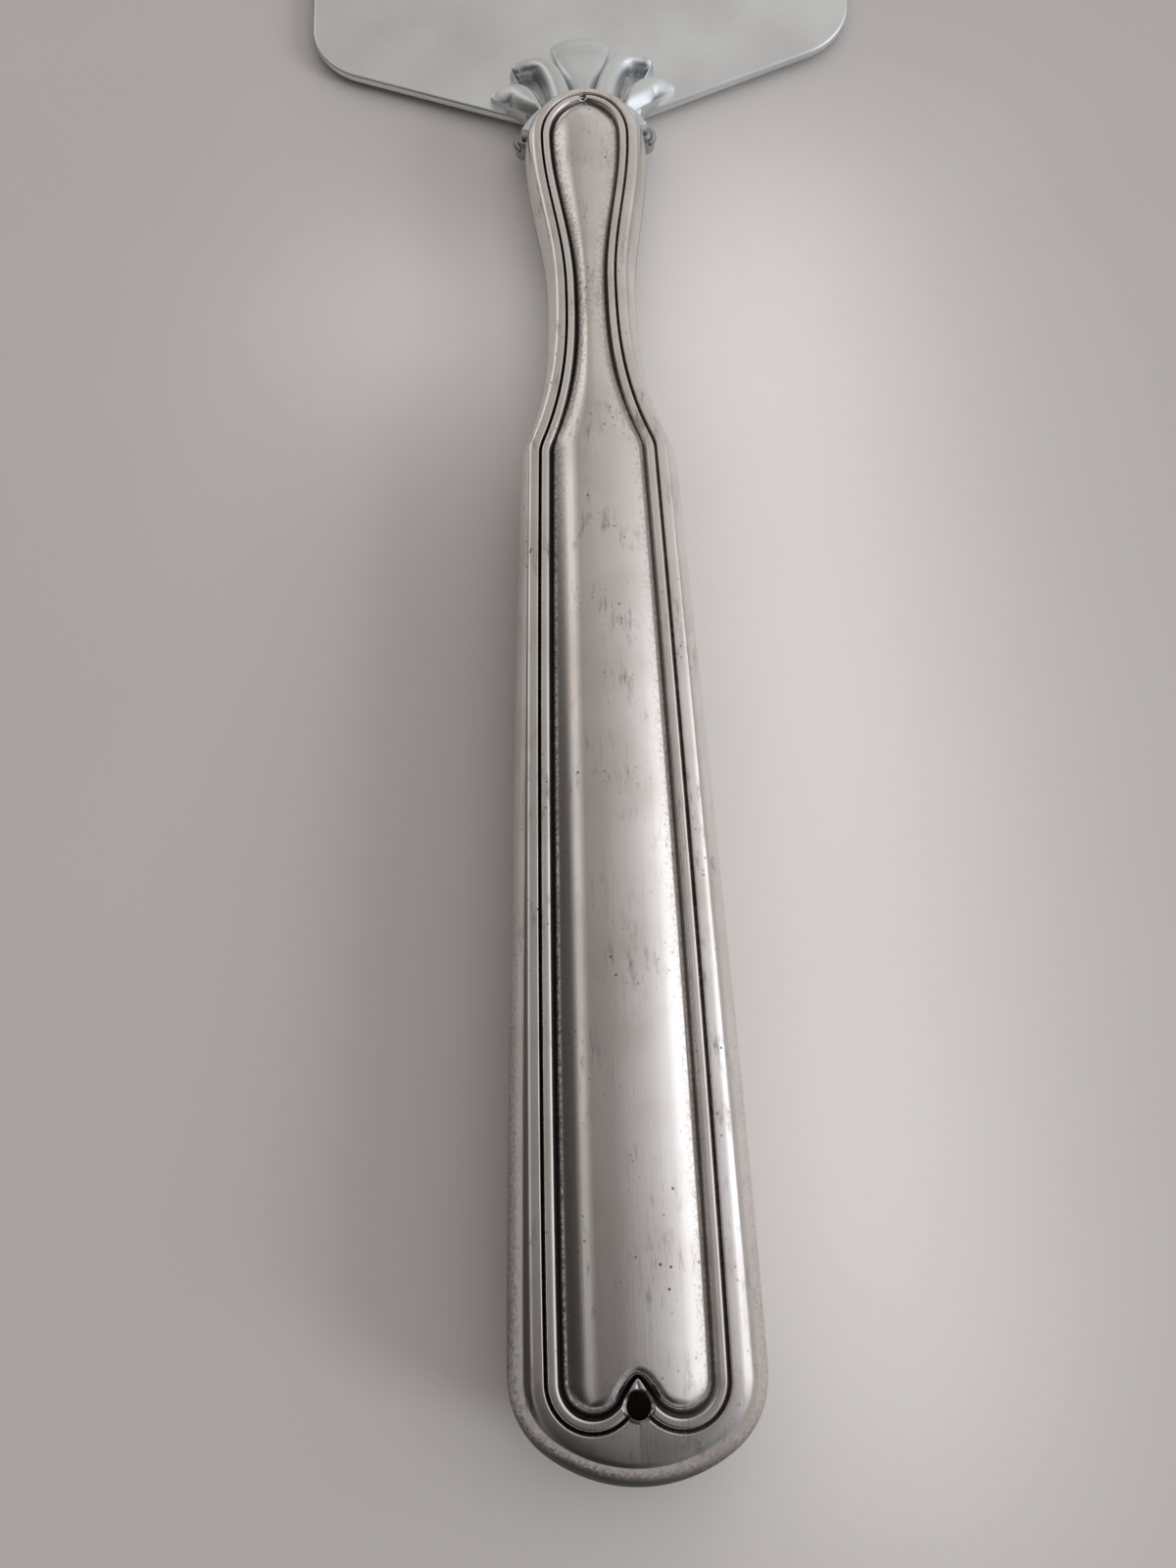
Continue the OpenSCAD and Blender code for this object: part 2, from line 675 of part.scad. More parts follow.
// Rays run from a pole inside the bulb to the edge of the outermost petal
pole_behind = 5;
ray_from = 4;
n_rays = 40;
n_reach = 14;
n_halvings = 20;
reach_power = 1.35;
reach_shares = [for (i = [0:n_reach]) 1 - pow(1 - i / n_reach, reach_power)];
function ray_point(turn, far) = [far * sin(turn), far * cos(turn) - pole_behind];
function ray_end(turn, mid, r) =
    let (
        m = mid + [0, pole_behind],
        near = m[0] * sin(turn) + m[1] * cos(turn),
        room = r * r - m * m + near * near
    )
    room > 0 ? near + sqrt(room) : 0;
function middle_reach(turn, lo, hi, n = n_halvings) =
    let (mid = (lo + hi) / 2)
    n == 0
    ? mid
    : middle_share(ray_point(turn, mid)) < 1
    ? middle_reach(turn, mid, hi, n - 1)
    : middle_reach(turn, lo, mid, n - 1);
function ray_reach(turn) =
    max(concat(
        [middle_reach(turn, pole_behind, 2 * (pole_behind + middle_l)) + rib_edge],
        [for (path = [upper_path, lower_path], i = [0:n_rib])
            ray_end(turn, path[i], rib_w(rib_out, i / n_rib, 1) + rib_edge)]
    ));
function fan_point(turn, reach, share) =
    let (
        p = ray_point(turn, mix(ray_from, reach, share)),
        ground = mix(valley_h, fan_rim_h, pow(share, valley_power)),
        thin = sqrt(ease(share_of((fan_turn - turn) / thin_turn)))
    )
    [p[0], handle_l + p[1], blade_top + mix(fan_rim_h, soft_max(petal_h(p), ground, petal_blend), thin)];

module fan() {
    top = [for (i = [0:n_rays]) let (turn = fan_turn * i / n_rays, reach = ray_reach(turn))
        [for (share = reach_shares) fan_point(turn, reach, share)]];
    base = [for (row = top) [for (p = row) [p[0], p[1], blade_top]]];
    two_sided([
        [top, false],
        [base, true],
        [[for (i = [0:n_rays]) [base[i][0], top[i][0]]], false],
        [[for (i = [0:n_rays]) [base[i][n_reach], top[i][n_reach]]], true],
        [[base[n_rays], top[n_rays]], true]
    ]);
}

module scroll_pair() {
    mid = bulb_point(scroll_turn, -fit - scroll_out);
    for (side = [-1, 1])
        translate([side * mid[0], mid[1], blade_top])
            cylinder(r = scroll_r, h = scroll_h, $fn = round_sides);
}

// Band round the front of the bulb, from scroll to scroll
n_collar = 24;
function collar_line(d) =
    [for (i = [0:n_collar]) let (a = mix(scroll_turn, 180 - scroll_turn, i / n_collar)) bulb_point(a, d)];
module collar() {
    out = collar_line(-fit - collar_w);
    translate([0, 0, blade_top])
        linear_extrude(collar_h)
            polygon(concat(collar_line(collar_w / 2), [for (i = [n_collar:-1:0]) out[i]]));
}

// Room for the bulb in the casting
module bulb_room() {
    front = [for (i = [0:2 * n_collar]) bulb_point(180 * i / (2 * n_collar), -fit)];
    translate([0, 0, -butt_t]) linear_extrude(2 * butt_t) polygon(front);
}

module neck() {
    difference() {
        translate([-neck_w / 2, neck_back, -neck_t / 2])
            cube([neck_w, handle_l + fit + collar_w / 2 - neck_back, neck_t]);
        tang_blank(fit);
    }
}

module shell_bolster() {
    color(bright) {
        difference() {
            union() {
                fan();
                collar();
                scroll_pair();
            }
            bulb_room();
        }
        neck();
    }
}

// Blade outline: root, sloping base edges, round corners, bowed sides and round tip
corner_x = blade_w / 2 - blade_corner_r;
corner_y = root_y + (corner_x - root_half_w) * tan(base_slope) + blade_corner_r / cos(base_slope);
tip_mid = [0, tip_y - blade_tip_r];
corner_mid = [corner_x, corner_y];
// Middle of the bow that touches the corner and the tip from outside
function bow_mid() =
    let (
        gap = tip_mid - corner_mid,
        far = norm(gap),
        r1 = blade_bow_r - blade_corner_r,
        r2 = blade_bow_r - blade_tip_r,
        s = (far * far + r1 * r1 - r2 * r2) / (2 * far),
        h = sqrt(r1 * r1 - s * s)
    )
    corner_mid + gap / far * s + [-gap[1], gap[0]] / far * h;
n_arc = 14;
function arc(mid, r, from, to) =
    [for (i = [0:n_arc]) let (a = mix(from, to, i / n_arc)) mid + r * [cos(a), sin(a)]];
function angle_to(a, b) = atan2(b[1] - a[1], b[0] - a[0]);

module blade() {
    bow = bow_mid();
    low = angle_to(bow, corner_mid);
    high = angle_to(bow, tip_mid);
    side = concat(
        [[root_half_w, root_y]],
        arc(corner_mid, blade_corner_r, base_slope - 90, low),
        arc(bow, blade_bow_r, low, high),
        arc(tip_mid, blade_tip_r, high, 90)
    );
    last = len(side) - 1;
    color(bright) translate([0, 0, blade_top - blade_t])
        linear_extrude(blade_t)
            polygon(concat(side, [for (i = [last - 1:-1:0]) [-side[i][0], side[i][1]]]));
}

// At rest: the belly of the lower half and the blade's tip both touch the table
blade_under = blade_drop + blade_t / 2;
rest_slope = max([for (y = side_ys) (along(half_ts, y) - blade_under) / (tip_y - y)]);
rest_tilt = atan(rest_slope);
rest_lift = tip_y * sin(rest_tilt) + blade_under * cos(rest_tilt);
rest_mid = (tip_y * cos(rest_tilt) + blade_top * sin(rest_tilt)) / 2;

module laid() {
    translate([0, -rest_mid, rest_lift]) rotate([-rest_tilt, 0, 0]) children();
}

laid() upper_handle_shell();
laid() lower_handle_shell();
laid() solder_seam();
laid() mouth_plate();
laid() handle_core();
laid() tang();
laid() shell_bolster();
laid() blade();
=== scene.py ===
"""Looks of an old silver cake server, modelled round its packed solids and laid out as an add-on."""

import math
from types import SimpleNamespace

import bmesh
import bpy
from bpy.props import FloatProperty, FloatVectorProperty, PointerProperty
from mathutils import Matrix, Vector


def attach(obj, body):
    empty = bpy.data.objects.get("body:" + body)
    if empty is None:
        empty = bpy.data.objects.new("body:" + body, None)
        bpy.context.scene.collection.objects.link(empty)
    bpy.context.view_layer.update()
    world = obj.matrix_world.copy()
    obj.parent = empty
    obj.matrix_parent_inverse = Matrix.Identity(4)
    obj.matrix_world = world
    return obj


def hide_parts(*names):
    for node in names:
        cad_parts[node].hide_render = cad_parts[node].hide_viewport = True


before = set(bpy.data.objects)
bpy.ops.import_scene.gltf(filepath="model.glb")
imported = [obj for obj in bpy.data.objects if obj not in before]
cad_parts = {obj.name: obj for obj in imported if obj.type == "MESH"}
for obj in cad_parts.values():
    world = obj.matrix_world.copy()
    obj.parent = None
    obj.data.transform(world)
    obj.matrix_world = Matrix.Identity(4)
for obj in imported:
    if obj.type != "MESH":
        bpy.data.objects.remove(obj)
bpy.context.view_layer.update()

bl_info = {
    "name": "Cake Server",
    "version": (1, 0, 0),
    "blender": (4, 5, 0),
    "location": "View3D > Sidebar > Cake Server",
    "description": "Models an old silver cake server with a hollow threaded handle",
    "category": "Add Mesh",
}

MM = 0.001
QUARTER = math.pi / 2
# Distance, in millimetres, under which vertices are welded
WELD = 0.002


def linear(hex_colour):
    """Turns an sRGB hex colour into linear red, green, blue and alpha."""
    channels = [int(hex_colour[i:i + 2], 16) / 255 for i in (0, 2, 4)]
    return tuple(c / 12.92 if c <= 0.04045 else ((c + 0.055) / 1.055) ** 2.4 for c in channels) + (1.0,)


def millimetres(size, name, description):
    """A length property, given in millimetres and held in metres."""
    return FloatProperty(name=name, description=description, default=size * MM, precision=5, unit="LENGTH")


def degrees(turn, name, description):
    """An angle property, given in degrees and held in radians."""
    return FloatProperty(name=name, description=description, default=math.radians(turn), subtype="ANGLE")


def tint(hex_colour, name, description):
    """A colour property, given as an sRGB hex value."""
    return FloatVectorProperty(name=name, description=description, default=linear(hex_colour), size=4,
                               subtype="COLOR", min=0.0, max=1.0)


class HandleSizes(bpy.types.PropertyGroup):
    """Sizes of the hollow handle."""

    handle_l: millimetres(128, "Length", "From the butt to the front of the bulb")
    butt_w: millimetres(19.1, "Butt width", "Width across the butt")
    shoulder_w: millimetres(14.4, "Shoulder width", "Width across the shoulders")
    waist_w: millimetres(8.6, "Waist width", "Width at the waist")
    bulb_w: millimetres(12.4, "Bulb width", "Width of the bulb at the front")
    bulb_front_l: millimetres(7.4, "Bulb front", "Length of the rounded front of the bulb")
    shoulder_y: millimetres(84.5, "Shoulder place", "Shoulder corners, from the butt")
    waist_y: millimetres(102, "Waist place", "Waist, from the butt")
    butt_t: millimetres(10.8, "Butt thickness", "Thickness at the butt, over both crowns")
    shoulder_t: millimetres(8.8, "Shoulder thickness", "Thickness at the shoulders")
    waist_t: millimetres(6.8, "Waist thickness", "Thickness at the waist")
    bulb_t: millimetres(7.2, "Bulb thickness", "Thickness of the bulb")
    butt_bow: millimetres(1, "Butt bow", "How far the butt bows out past its round corners")
    wall: millimetres(0.6, "Wall", "Metal between the deepest groove and the hollow")
    seam_t: millimetres(0.2, "Seam", "Thickness of the solder line between the halves")


class ThreadSizes(bpy.types.PropertyGroup):
    """Sizes of the thread border round the handle's panel."""

    rim_in_butt: millimetres(2.1, "Rim at the butt", "Step in of the rim from the widest line, at the butt")
    rim_in_neck: millimetres(1.05, "Rim at the neck", "Step in of the rim from the shoulders to the bulb")
    rim_band_w: millimetres(0.75, "Rim width", "Width of the rim, out to in, up to its lip")
    outer_groove_w: millimetres(0.42, "Outer groove", "Width of the outer groove")
    bead_w: millimetres(0.62, "Bead", "Width of the bead between the grooves")
    inner_groove_w: millimetres(0.62, "Inner groove", "Width of the inner groove")
    groove_depth: millimetres(0.45, "Groove depth", "Depth of both grooves")
    bead_rise: millimetres(0.08, "Bead height", "Height of the bead over the rim")
    butt_drop: millimetres(0.9, "Butt drop", "Drop of the rim at the butt end")
    bulb_drop: millimetres(0.5, "Bulb drop", "Drop of the rim at the front of the bulb")
    rim_round: millimetres(0.16, "Rim rounding", "Worn rounding of the rim's outer edge")
    edge_run: millimetres(3.5, "Panel edge", "Width of the rounded edge along the panel's sides")
    lobe_run: millimetres(1.7, "Lobe edge", "Width of the rounded edge under the lobes")
    cusp_run: millimetres(0.9, "Cusp edge", "Width of the rounded edge round the cusp")
    vent_d: millimetres(1.75, "Vent", "Diameter of the vent hole")
    vent_sink: millimetres(0.22, "Countersink", "Width of the countersink round the vent hole")


class BladeSizes(bpy.types.PropertyGroup):
    """Sizes of the blade."""

    blade_l: millimetres(140, "Length", "From the root to the tip")
    blade_w: millimetres(59.6, "Width", "Width across the base corners")
    blade_t: millimetres(0.9, "Thickness", "Thickness of the blade")
    corner_r: millimetres(8, "Corner radius", "Radius of the base corners")
    tip_r: millimetres(13, "Tip radius", "Radius of the tip")
    bow_r: millimetres(330, "Side radius", "Radius of the bow along each side")
    root_half_w: millimetres(2.5, "Root", "Half width of the root, under the shell")
    base_slope: degrees(22, "Base slope", "Slope of the base edges")
    blade_drop: millimetres(3.45, "Drop", "Drop of the blade below the handle's seam")
    root_under: millimetres(0.4, "Root overlap", "How far the root lies back under the bulb")
    edge_bevel: millimetres(0.25, "Edge bevel", "Bevel round the upper and lower edges")


class ShellSizes(bpy.types.PropertyGroup):
    """Sizes of the cast palmette shell."""

    middle_l: millimetres(11.6, "Middle petal", "Reach of the middle petal from the bulb")
    middle_r: millimetres(3.8, "Middle half width", "Half width of the middle petal before its round end")
    middle_end: millimetres(2.8, "Middle end", "Length of the middle petal's round end")
    middle_foot: millimetres(1.3, "Middle foot", "Half width of the middle petal beside the bulb")
    middle_back_h: millimetres(4.2, "Middle back", "Height of the middle petal beside the bulb")
    middle_tip_h: millimetres(1.1, "Middle tip", "Height of the middle petal near its tip")
    upper_foot_x: millimetres(1.7, "Upper foot side", "Foot of the upper ribs, from the middle line")
    upper_foot_y: millimetres(0.6, "Upper foot reach", "Foot of the upper ribs, ahead of the bulb")
    upper_rise: millimetres(4.6, "Upper rise", "How far the upper ribs run ahead before they curl out")
    upper_tip_x: millimetres(6.9, "Upper tip side", "Tip of the upper ribs, from the middle line")
    upper_tip_y: millimetres(7.2, "Upper tip reach", "Tip of the upper ribs, ahead of the bulb")
    lower_foot_x: millimetres(4.6, "Lower foot side", "Foot of the lower ribs, from the middle line")
    lower_foot_y: millimetres(-1.2, "Lower foot reach", "Foot of the lower ribs, ahead of the bulb")
    lower_rise: millimetres(2.8, "Lower rise", "How far the lower ribs run ahead before they curl out")
    lower_tip_x: millimetres(9.1, "Lower tip side", "Tip of the lower ribs, from the middle line")
    lower_tip_y: millimetres(4.1, "Lower tip reach", "Tip of the lower ribs, ahead of the bulb")
    curl_x: millimetres(3.3, "Curl length", "Length of the curl at a rib's tip")
    curl_y: millimetres(1.1, "Curl height", "How far the curl bows ahead of a rib's tip")
    rib_out: millimetres(0.95, "Rib outside", "Width of a rib's steep outer side")
    upper_in: millimetres(2.1, "Upper inside", "Width of the upper ribs' gentle inner side")
    lower_in: millimetres(2.9, "Lower inside", "Width of the lower ribs' gentle inner side")
    rib_edge: millimetres(0.35, "Rib edge", "Edge of the casting outside a rib")
    upper_foot_h: millimetres(3.7, "Upper foot height", "Height of the upper ribs beside the bulb")
    upper_tip_h: millimetres(1.7, "Upper tip height", "Height of the upper ribs at their tips")
    lower_foot_h: millimetres(3.2, "Lower foot height", "Height of the lower ribs beside the bulb")
    lower_tip_h: millimetres(1.3, "Lower tip height", "Height of the lower ribs at their tips")
    valley_h: millimetres(2, "Valley height", "Height of the valleys beside the bulb")
    rim_h: millimetres(0.25, "Rim height", "Height of the shell's rim over the blade")
    fan_turn: degrees(55, "Spread", "Turn of the shell's lower edges from the middle line")
    thin_turn: degrees(16, "Thinning", "Turn over which the shell thins out to its lower edges")
    collar_h: millimetres(3, "Collar height", "Height of the collar round the front of the bulb")
    collar_w: millimetres(1.2, "Collar width", "Width of the collar")
    scroll_r: millimetres(1.3, "Scroll radius", "Radius of the scrolls")
    scroll_out: millimetres(0.95, "Scroll offset", "Middle of the scrolls, out from the bulb")
    scroll_h: millimetres(2, "Scroll height", "Height of the scrolls")
    scroll_turn: degrees(29, "Scroll place", "Place of the scrolls round the bulb, from the side")
    fit: millimetres(0.05, "Fit", "Gap between the casting and the bulb")


class SilverColours(bpy.types.PropertyGroup):
    """Colours of the metal, the tarnish and the hidden pieces."""

    silver: tint("E6E1DD", "Silver", "Polished old silver")
    pale_silver: tint("ECF0F1", "Pale silver", "Satin silver of the blade")
    tarnish: tint("484645", "Tarnish", "Dark sulphide in the grooves")
    bloom: tint("A89A88", "Bloom", "Thin yellowish tarnish on flat places")
    solder: tint("A8A299", "Solder", "Dull silver solder")
    steel: tint("878A8E", "Steel", "Plain steel inside the handle")
    cement: tint("6B5440", "Cement", "Brown filling cement")


class StageLook(bpy.types.PropertyGroup):
    """Floor, light and camera."""

    floor: tint("B2AFAD", "Floor", "Pale table top")
    eye_x: millimetres(-0.257, "Eye to the side", "Camera, right of the server's middle line")
    eye_y: millimetres(21.917, "Eye along", "Camera, ahead of the butt")
    eye_z: millimetres(95.35, "Eye height", "Camera, above the handle's seam")
    eye_pitch: degrees(72.042, "Pitch", "Camera's tilt below the horizon")
    eye_yaw: degrees(-3.331, "Yaw", "Camera's turn to the right")
    eye_roll: degrees(-5.565, "Roll", "Camera's roll")
    lens: FloatProperty(name="Lens", description="Focal length for a 36 mm long side", default=27.0)


def sizes_of(group):
    """The values of a property group, with its lengths in millimetres."""
    props = group.bl_rna.properties
    keys = type(group).__annotations__
    return SimpleNamespace(**{k: getattr(group, k) / (MM if props[k].unit == "LENGTH" else 1) for k in keys})


def mix(a, b, t):
    """The value a share t of the way from a to b."""
    return a + (b - a) * t


def clamp(v, low=0.0, high=1.0):
    """A value held between two limits."""
    return min(max(v, low), high)


def ease(t):
    """Half a wave from 0 to 1, level at both ends."""
    return (1 - math.cos(math.pi * t)) / 2


def soft_min(a, b, k):
    """The lower of two values, with the corner between them rounded."""
    return min(a, b) - max(k - abs(a - b), 0) ** 2 / (4 * k)


def soft_max(a, b, k):
    """The higher of two values, with the corner between them rounded."""
    return -soft_min(-a, -b, k)


def spaced(start, end, count):
    """Evenly spaced values from start up to, but not at, end."""
    return [mix(start, end, i / count) for i in range(count)]


def curve_point(corners, t):
    """Point on the cubic curve with four corners."""
    u = 1 - t
    a, b, c, d = corners
    return a * u ** 3 + b * 3 * t * u * u + c * 3 * t * t * u + d * t ** 3


def foot_on(p, start, way):
    """Share of a straight way at which it passes a point, and the step from there to the point."""
    t = clamp((p - start).dot(way) / way.length_squared)
    return t, p - start - way * t


def near_edge(p, path, runs):
    """Distance to a path, and the least share of the way in over an edge that is a run wide at each place."""
    gap, share = math.inf, math.inf
    for a, b, run_a, run_b in zip(path, path[1:], runs, runs[1:]):
        way = b - a
        if way.length_squared > 0:
            t, step = foot_on(p, a, way)
            gap, share = min(gap, step.length), min(share, step.length / mix(run_a, run_b, t))
    return gap, share


def near_path(p, path):
    """Distance to a path, the share of its segments that is passed there, and the side of it, -1 to 1."""
    best = math.inf, 0, 0
    for i, (a, b) in enumerate(zip(path, path[1:])):
        way = b - a
        if way.length_squared > 0:
            t, step = foot_on(p, a, way)
            scale = way.length * step.length
            side = (way.x * step.y - way.y * step.x) / scale if scale > 0 else 0
            best = min(best, (step.length, (i + t) / (len(path) - 1), side))
    return best


class HandleForm:
    """Lines of the struck handle, in millimetres: along +Y from the butt, with its seam in z = 0."""

    # Turn of the side wall from the seam to the rim
    WALL_TURN = math.radians(62)
    # Shares of the half thickness that the crown takes, and of the threads' width, at each station
    CROWN_SHARES = (0.24, 0.24, 0.13, 0.21)
    THREAD_SHARES = (1, 0.95, 0.87, 0.85)
    # Rise, lean and bluntness of the cusp, as shares of its half width
    CUSP_SHARE = 0.3
    CUSP_LEAN = 0.5
    CUSP_BLUNT = 0.35
    # Rounding of the shoulders, as a share of their step, and the curves ahead of them and behind
    BLEND_SHARE = 0.07
    FLARE_POWER = 2.7
    BODY_POWER = 1.3
    # How steeply the panel's edge rises, and the share of its crown that falls off to the sides
    EDGE_POWER = 3
    GENTLE_SHARE = 0.42
    # Length over which the outline's slope is read
    SLOPE_STEP = 0.01
    # Share of the bulb's half width over which the inner groove fades, and share of its depth left
    FADE_SHARE = 0.3
    FADE_LEFT = 0.35

    def __init__(self, sizes, thread):
        self.s = sizes
        self.t = thread
        self.e_lip = thread.rim_band_w
        self.e_outer = self.e_lip + thread.outer_groove_w / 2
        self.e_bead = self.e_lip + thread.outer_groove_w
        self.e_crest = self.e_bead + thread.bead_w / 2
        self.e_panel = self.e_bead + thread.bead_w + thread.inner_groove_w / 2
        # Two lobes close the panel at the butt, and the beads round them touch on the middle line
        self.lobe_x = (sizes.butt_w / 2 - thread.rim_in_butt - self.e_bead) / 2
        self.corner_r = sizes.butt_w / 2 - self.lobe_x
        self.lobe_y = self.corner_r + sizes.butt_bow
        self.end_r = (self.lobe_x ** 2 + self.lobe_y ** 2 - self.corner_r ** 2) / (2 * sizes.butt_bow)
        self.corner_turn = math.atan2(self.end_r - self.lobe_y, self.lobe_x)
        self.lip_r = self.lobe_r(self.e_lip)
        self.panel_r = self.lobe_r(self.e_panel)
        self.vent_y = self.lobe_y - math.sqrt(self.lip_r ** 2 - self.lobe_x ** 2)
        self.leave = math.pi - math.acos(self.lobe_x / self.lip_r)
        self.cusp_y = self.lobe_y + self.CUSP_SHARE * (self.lobe_x - self.panel_r)
        self.butt_end_y = self.lobe_y + self.corner_r
        self.bulb_r = sizes.bulb_w / 2
        self.bulb_y = sizes.handle_l - sizes.bulb_front_l
        self.stations = (self.lobe_y, sizes.shoulder_y, sizes.waist_y, self.bulb_y)
        self.half_ts = (sizes.butt_t / 2, sizes.shoulder_t / 2, sizes.waist_t / 2, sizes.bulb_t / 2)
        self.rim_ins = (thread.rim_in_butt,) + 3 * (thread.rim_in_neck,)

    def lobe_r(self, e):
        """Radius of a thread line round a lobe, e inside the rim's outer edge."""
        return self.corner_r - self.t.rim_in_butt - e

    def station_slope(self, values, i):
        """Slope at a station of the values at all stations."""
        low, high = max(i - 1, 0), min(i + 1, 3)
        return (values[high] - values[low]) / (self.stations[high] - self.stations[low])

    def along(self, values, y):
        """A smooth curve through one value at each station."""
        i = max(k for k in range(3) if k == 0 or y > self.stations[k])
        run = self.stations[i + 1] - self.stations[i]
        t = clamp((y - self.stations[i]) / run)
        bend = self.station_slope(values, i) * (1 - t) - self.station_slope(values, i + 1) * t
        return mix(values[i], values[i + 1], t * t * (3 - 2 * t)) + t * (1 - t) * run * bend

    def half_w(self, y):
        """Half width of the handle between the butt's corners and the bulb."""
        s = self.s
        if y >= s.waist_y:
            return mix(self.bulb_r, s.waist_w / 2, ease(clamp((self.bulb_y - y) / (self.bulb_y - s.waist_y))))
        flare = ((s.waist_y - y) / (s.waist_y - s.shoulder_y)) ** self.FLARE_POWER
        body = (max(y - self.lobe_y, 0) / (s.shoulder_y - self.lobe_y)) ** self.BODY_POWER
        return soft_min(s.waist_w / 2 + (s.shoulder_w - s.waist_w) / 2 * flare,
                        s.butt_w / 2 - (s.butt_w - s.shoulder_w) / 2 * body,
                        (s.shoulder_w - s.waist_w) * self.BLEND_SHARE)

    def rim_in(self, y):
        """Step in of the rim from the widest line."""
        return self.along(self.rim_ins, y)

    def thread(self, y, e):
        """Step in of a thread line from the widest line, e inside the rim's outer edge."""
        return self.rim_in(y) + self.along(self.THREAD_SHARES, y) * e

    def crown_rise(self, y):
        """Height of the panel's crown over the rim."""
        return self.along(self.half_ts, y) * self.along(self.CROWN_SHARES, y)

    def rim_z(self, y):
        """Height of the rim over the seam."""
        fall = (self.t.butt_drop * (max(self.lobe_y - y, 0) / self.lobe_y) ** 2
                + self.t.bulb_drop * (max(y - self.bulb_y, 0) / self.s.bulb_front_l) ** 2)
        return self.along(self.half_ts, y) - self.crown_rise(y) - fall

    def bulb_point(self, a, d):
        """Point of the bulb's round front, stepped in by d."""
        out = Vector((math.cos(a) / self.bulb_r, math.sin(a) / self.s.bulb_front_l)).normalized()
        return Vector((self.bulb_r * math.cos(a), self.bulb_y + self.s.bulb_front_l * math.sin(a))) - d * out

    def side_point(self, y, d):
        """Point of the handle's side, stepped in by d."""
        step = self.SLOPE_STEP
        m = (self.half_w(y + step) - self.half_w(y - step)) / (2 * step)
        n = math.hypot(1, m)
        return Vector((self.half_w(y) - d / n, y + d * m / n))

    def lobe_point(self, r, a):
        """Point at a distance and a turn from a lobe's middle."""
        return Vector((self.lobe_x + r * math.cos(a), self.lobe_y - r * math.sin(a)))

    def butt_reach(self, a, d):
        """Distance from a lobe's middle to the butt's outline stepped in by d."""
        if a <= self.corner_turn:
            return self.corner_r - d
        rise = self.end_r - self.lobe_y
        b = self.lobe_x * math.cos(a) + rise * math.sin(a)
        return math.sqrt(b * b - self.lobe_x ** 2 - rise ** 2 + (self.end_r - d) ** 2) - b

    def end_point(self, d, t):
        """Point of the butt's end, stepped in by d, from the lobe (0) to the middle (1)."""
        x = self.lobe_x * (1 - t)
        return Vector((x, self.end_r - math.sqrt((self.end_r - d) ** 2 - x * x)))

    def lobe_end(self, r, zone, value):
        """Point from under a lobe to the middle line, or up an ogee to the tip of the cusp."""
        meet = math.pi - math.acos(min(self.lobe_x / r, 1))
        leave = min(self.leave, meet)
        if zone == "lobe":
            return self.lobe_point(r, mix(QUARTER, leave, value))
        if r >= self.lobe_x:
            return self.lobe_point(r, mix(leave, meet, value))
        half = self.lobe_x - r
        start = self.lobe_point(r, leave)
        way = Vector((math.cos(leave + QUARTER), -math.sin(leave + QUARTER)))
        top = Vector((0, self.lobe_y + self.CUSP_SHARE * half))
        blunt = top + Vector((self.CUSP_BLUNT * half, 0))
        return curve_point((start, start + self.CUSP_LEAN * half * way, blunt, top), value)

    def outline(self, counts):
        """Places round the right half, from the front of the bulb to the middle of the butt."""
        s = self.s
        shoulder = s.shoulder_y - self.t.rim_in_neck
        sides = (spaced(self.bulb_y, s.waist_y, counts.neck) + spaced(s.waist_y, shoulder, counts.flare)
                 + spaced(shoulder, self.butt_end_y, counts.body)
                 + spaced(self.butt_end_y, self.cusp_y, counts.tail)
                 + spaced(self.cusp_y, self.lobe_y, counts.cusp))
        return ([("bulb", a) for a in spaced(QUARTER, 0, counts.bulb)] + [("side", y) for y in sides]
                + [("corner", a) for a in spaced(0, QUARTER, counts.lobe)]
                + [("lobe", t) for t in spaced(0, 1, counts.lobe)]
                + [("cusp", t) for t in spaced(0, 1, counts.cusp) + [1]])

    def wall_point(self, place, part, extra=0.0):
        """Point of a wall line: part of the way in to the rim, and a further step in."""
        zone, value = place
        butt = part * self.t.rim_in_butt + extra
        if zone == "bulb":
            return self.bulb_point(value, part * self.t.rim_in_neck + extra)
        if zone == "side":
            return self.side_point(value, part * self.rim_in(value) + extra)
        if zone == "corner":
            return self.lobe_point(self.butt_reach(value, butt), value)
        return self.end_point(butt, value if zone == "lobe" else 1)

    def thread_point(self, place, e):
        """Point of a thread line, a distance e inside the rim's outer edge."""
        zone, value = place
        share = max(1 - e / self.e_lip, 0)
        r = self.lobe_r(e)
        if zone == "bulb":
            return self.bulb_point(value, self.thread(self.bulb_y, e))
        if zone == "side":
            return self.side_point(value, self.thread(value, e))
        if zone == "corner":
            reach = mix(self.lip_r, self.butt_reach(value, self.t.rim_in_butt), share) if share > 0 else r
            return self.lobe_point(reach, value)
        if share > 0:
            end = self.end_point(self.t.rim_in_butt, value if zone == "lobe" else 1)
            return mix(self.lobe_end(self.lip_r, zone, value), end, share)
        return self.lobe_end(r, zone, value)

    def panel_half(self, y):
        """Half width of the panel, out to the middle of the inner groove."""
        y = clamp(y, self.lobe_y, self.bulb_y)
        return self.half_w(y) - self.thread(y, self.e_panel)

    def edge_run(self, place):
        """Width of the panel's rounded edge at a place of the outline."""
        zone, value = place
        t = self.t
        if zone == "corner":
            return mix(t.edge_run, t.lobe_run, ease(value / QUARTER))
        return {"lobe": mix(t.lobe_run, t.cusp_run, value), "cusp": t.cusp_run}.get(zone, t.edge_run)

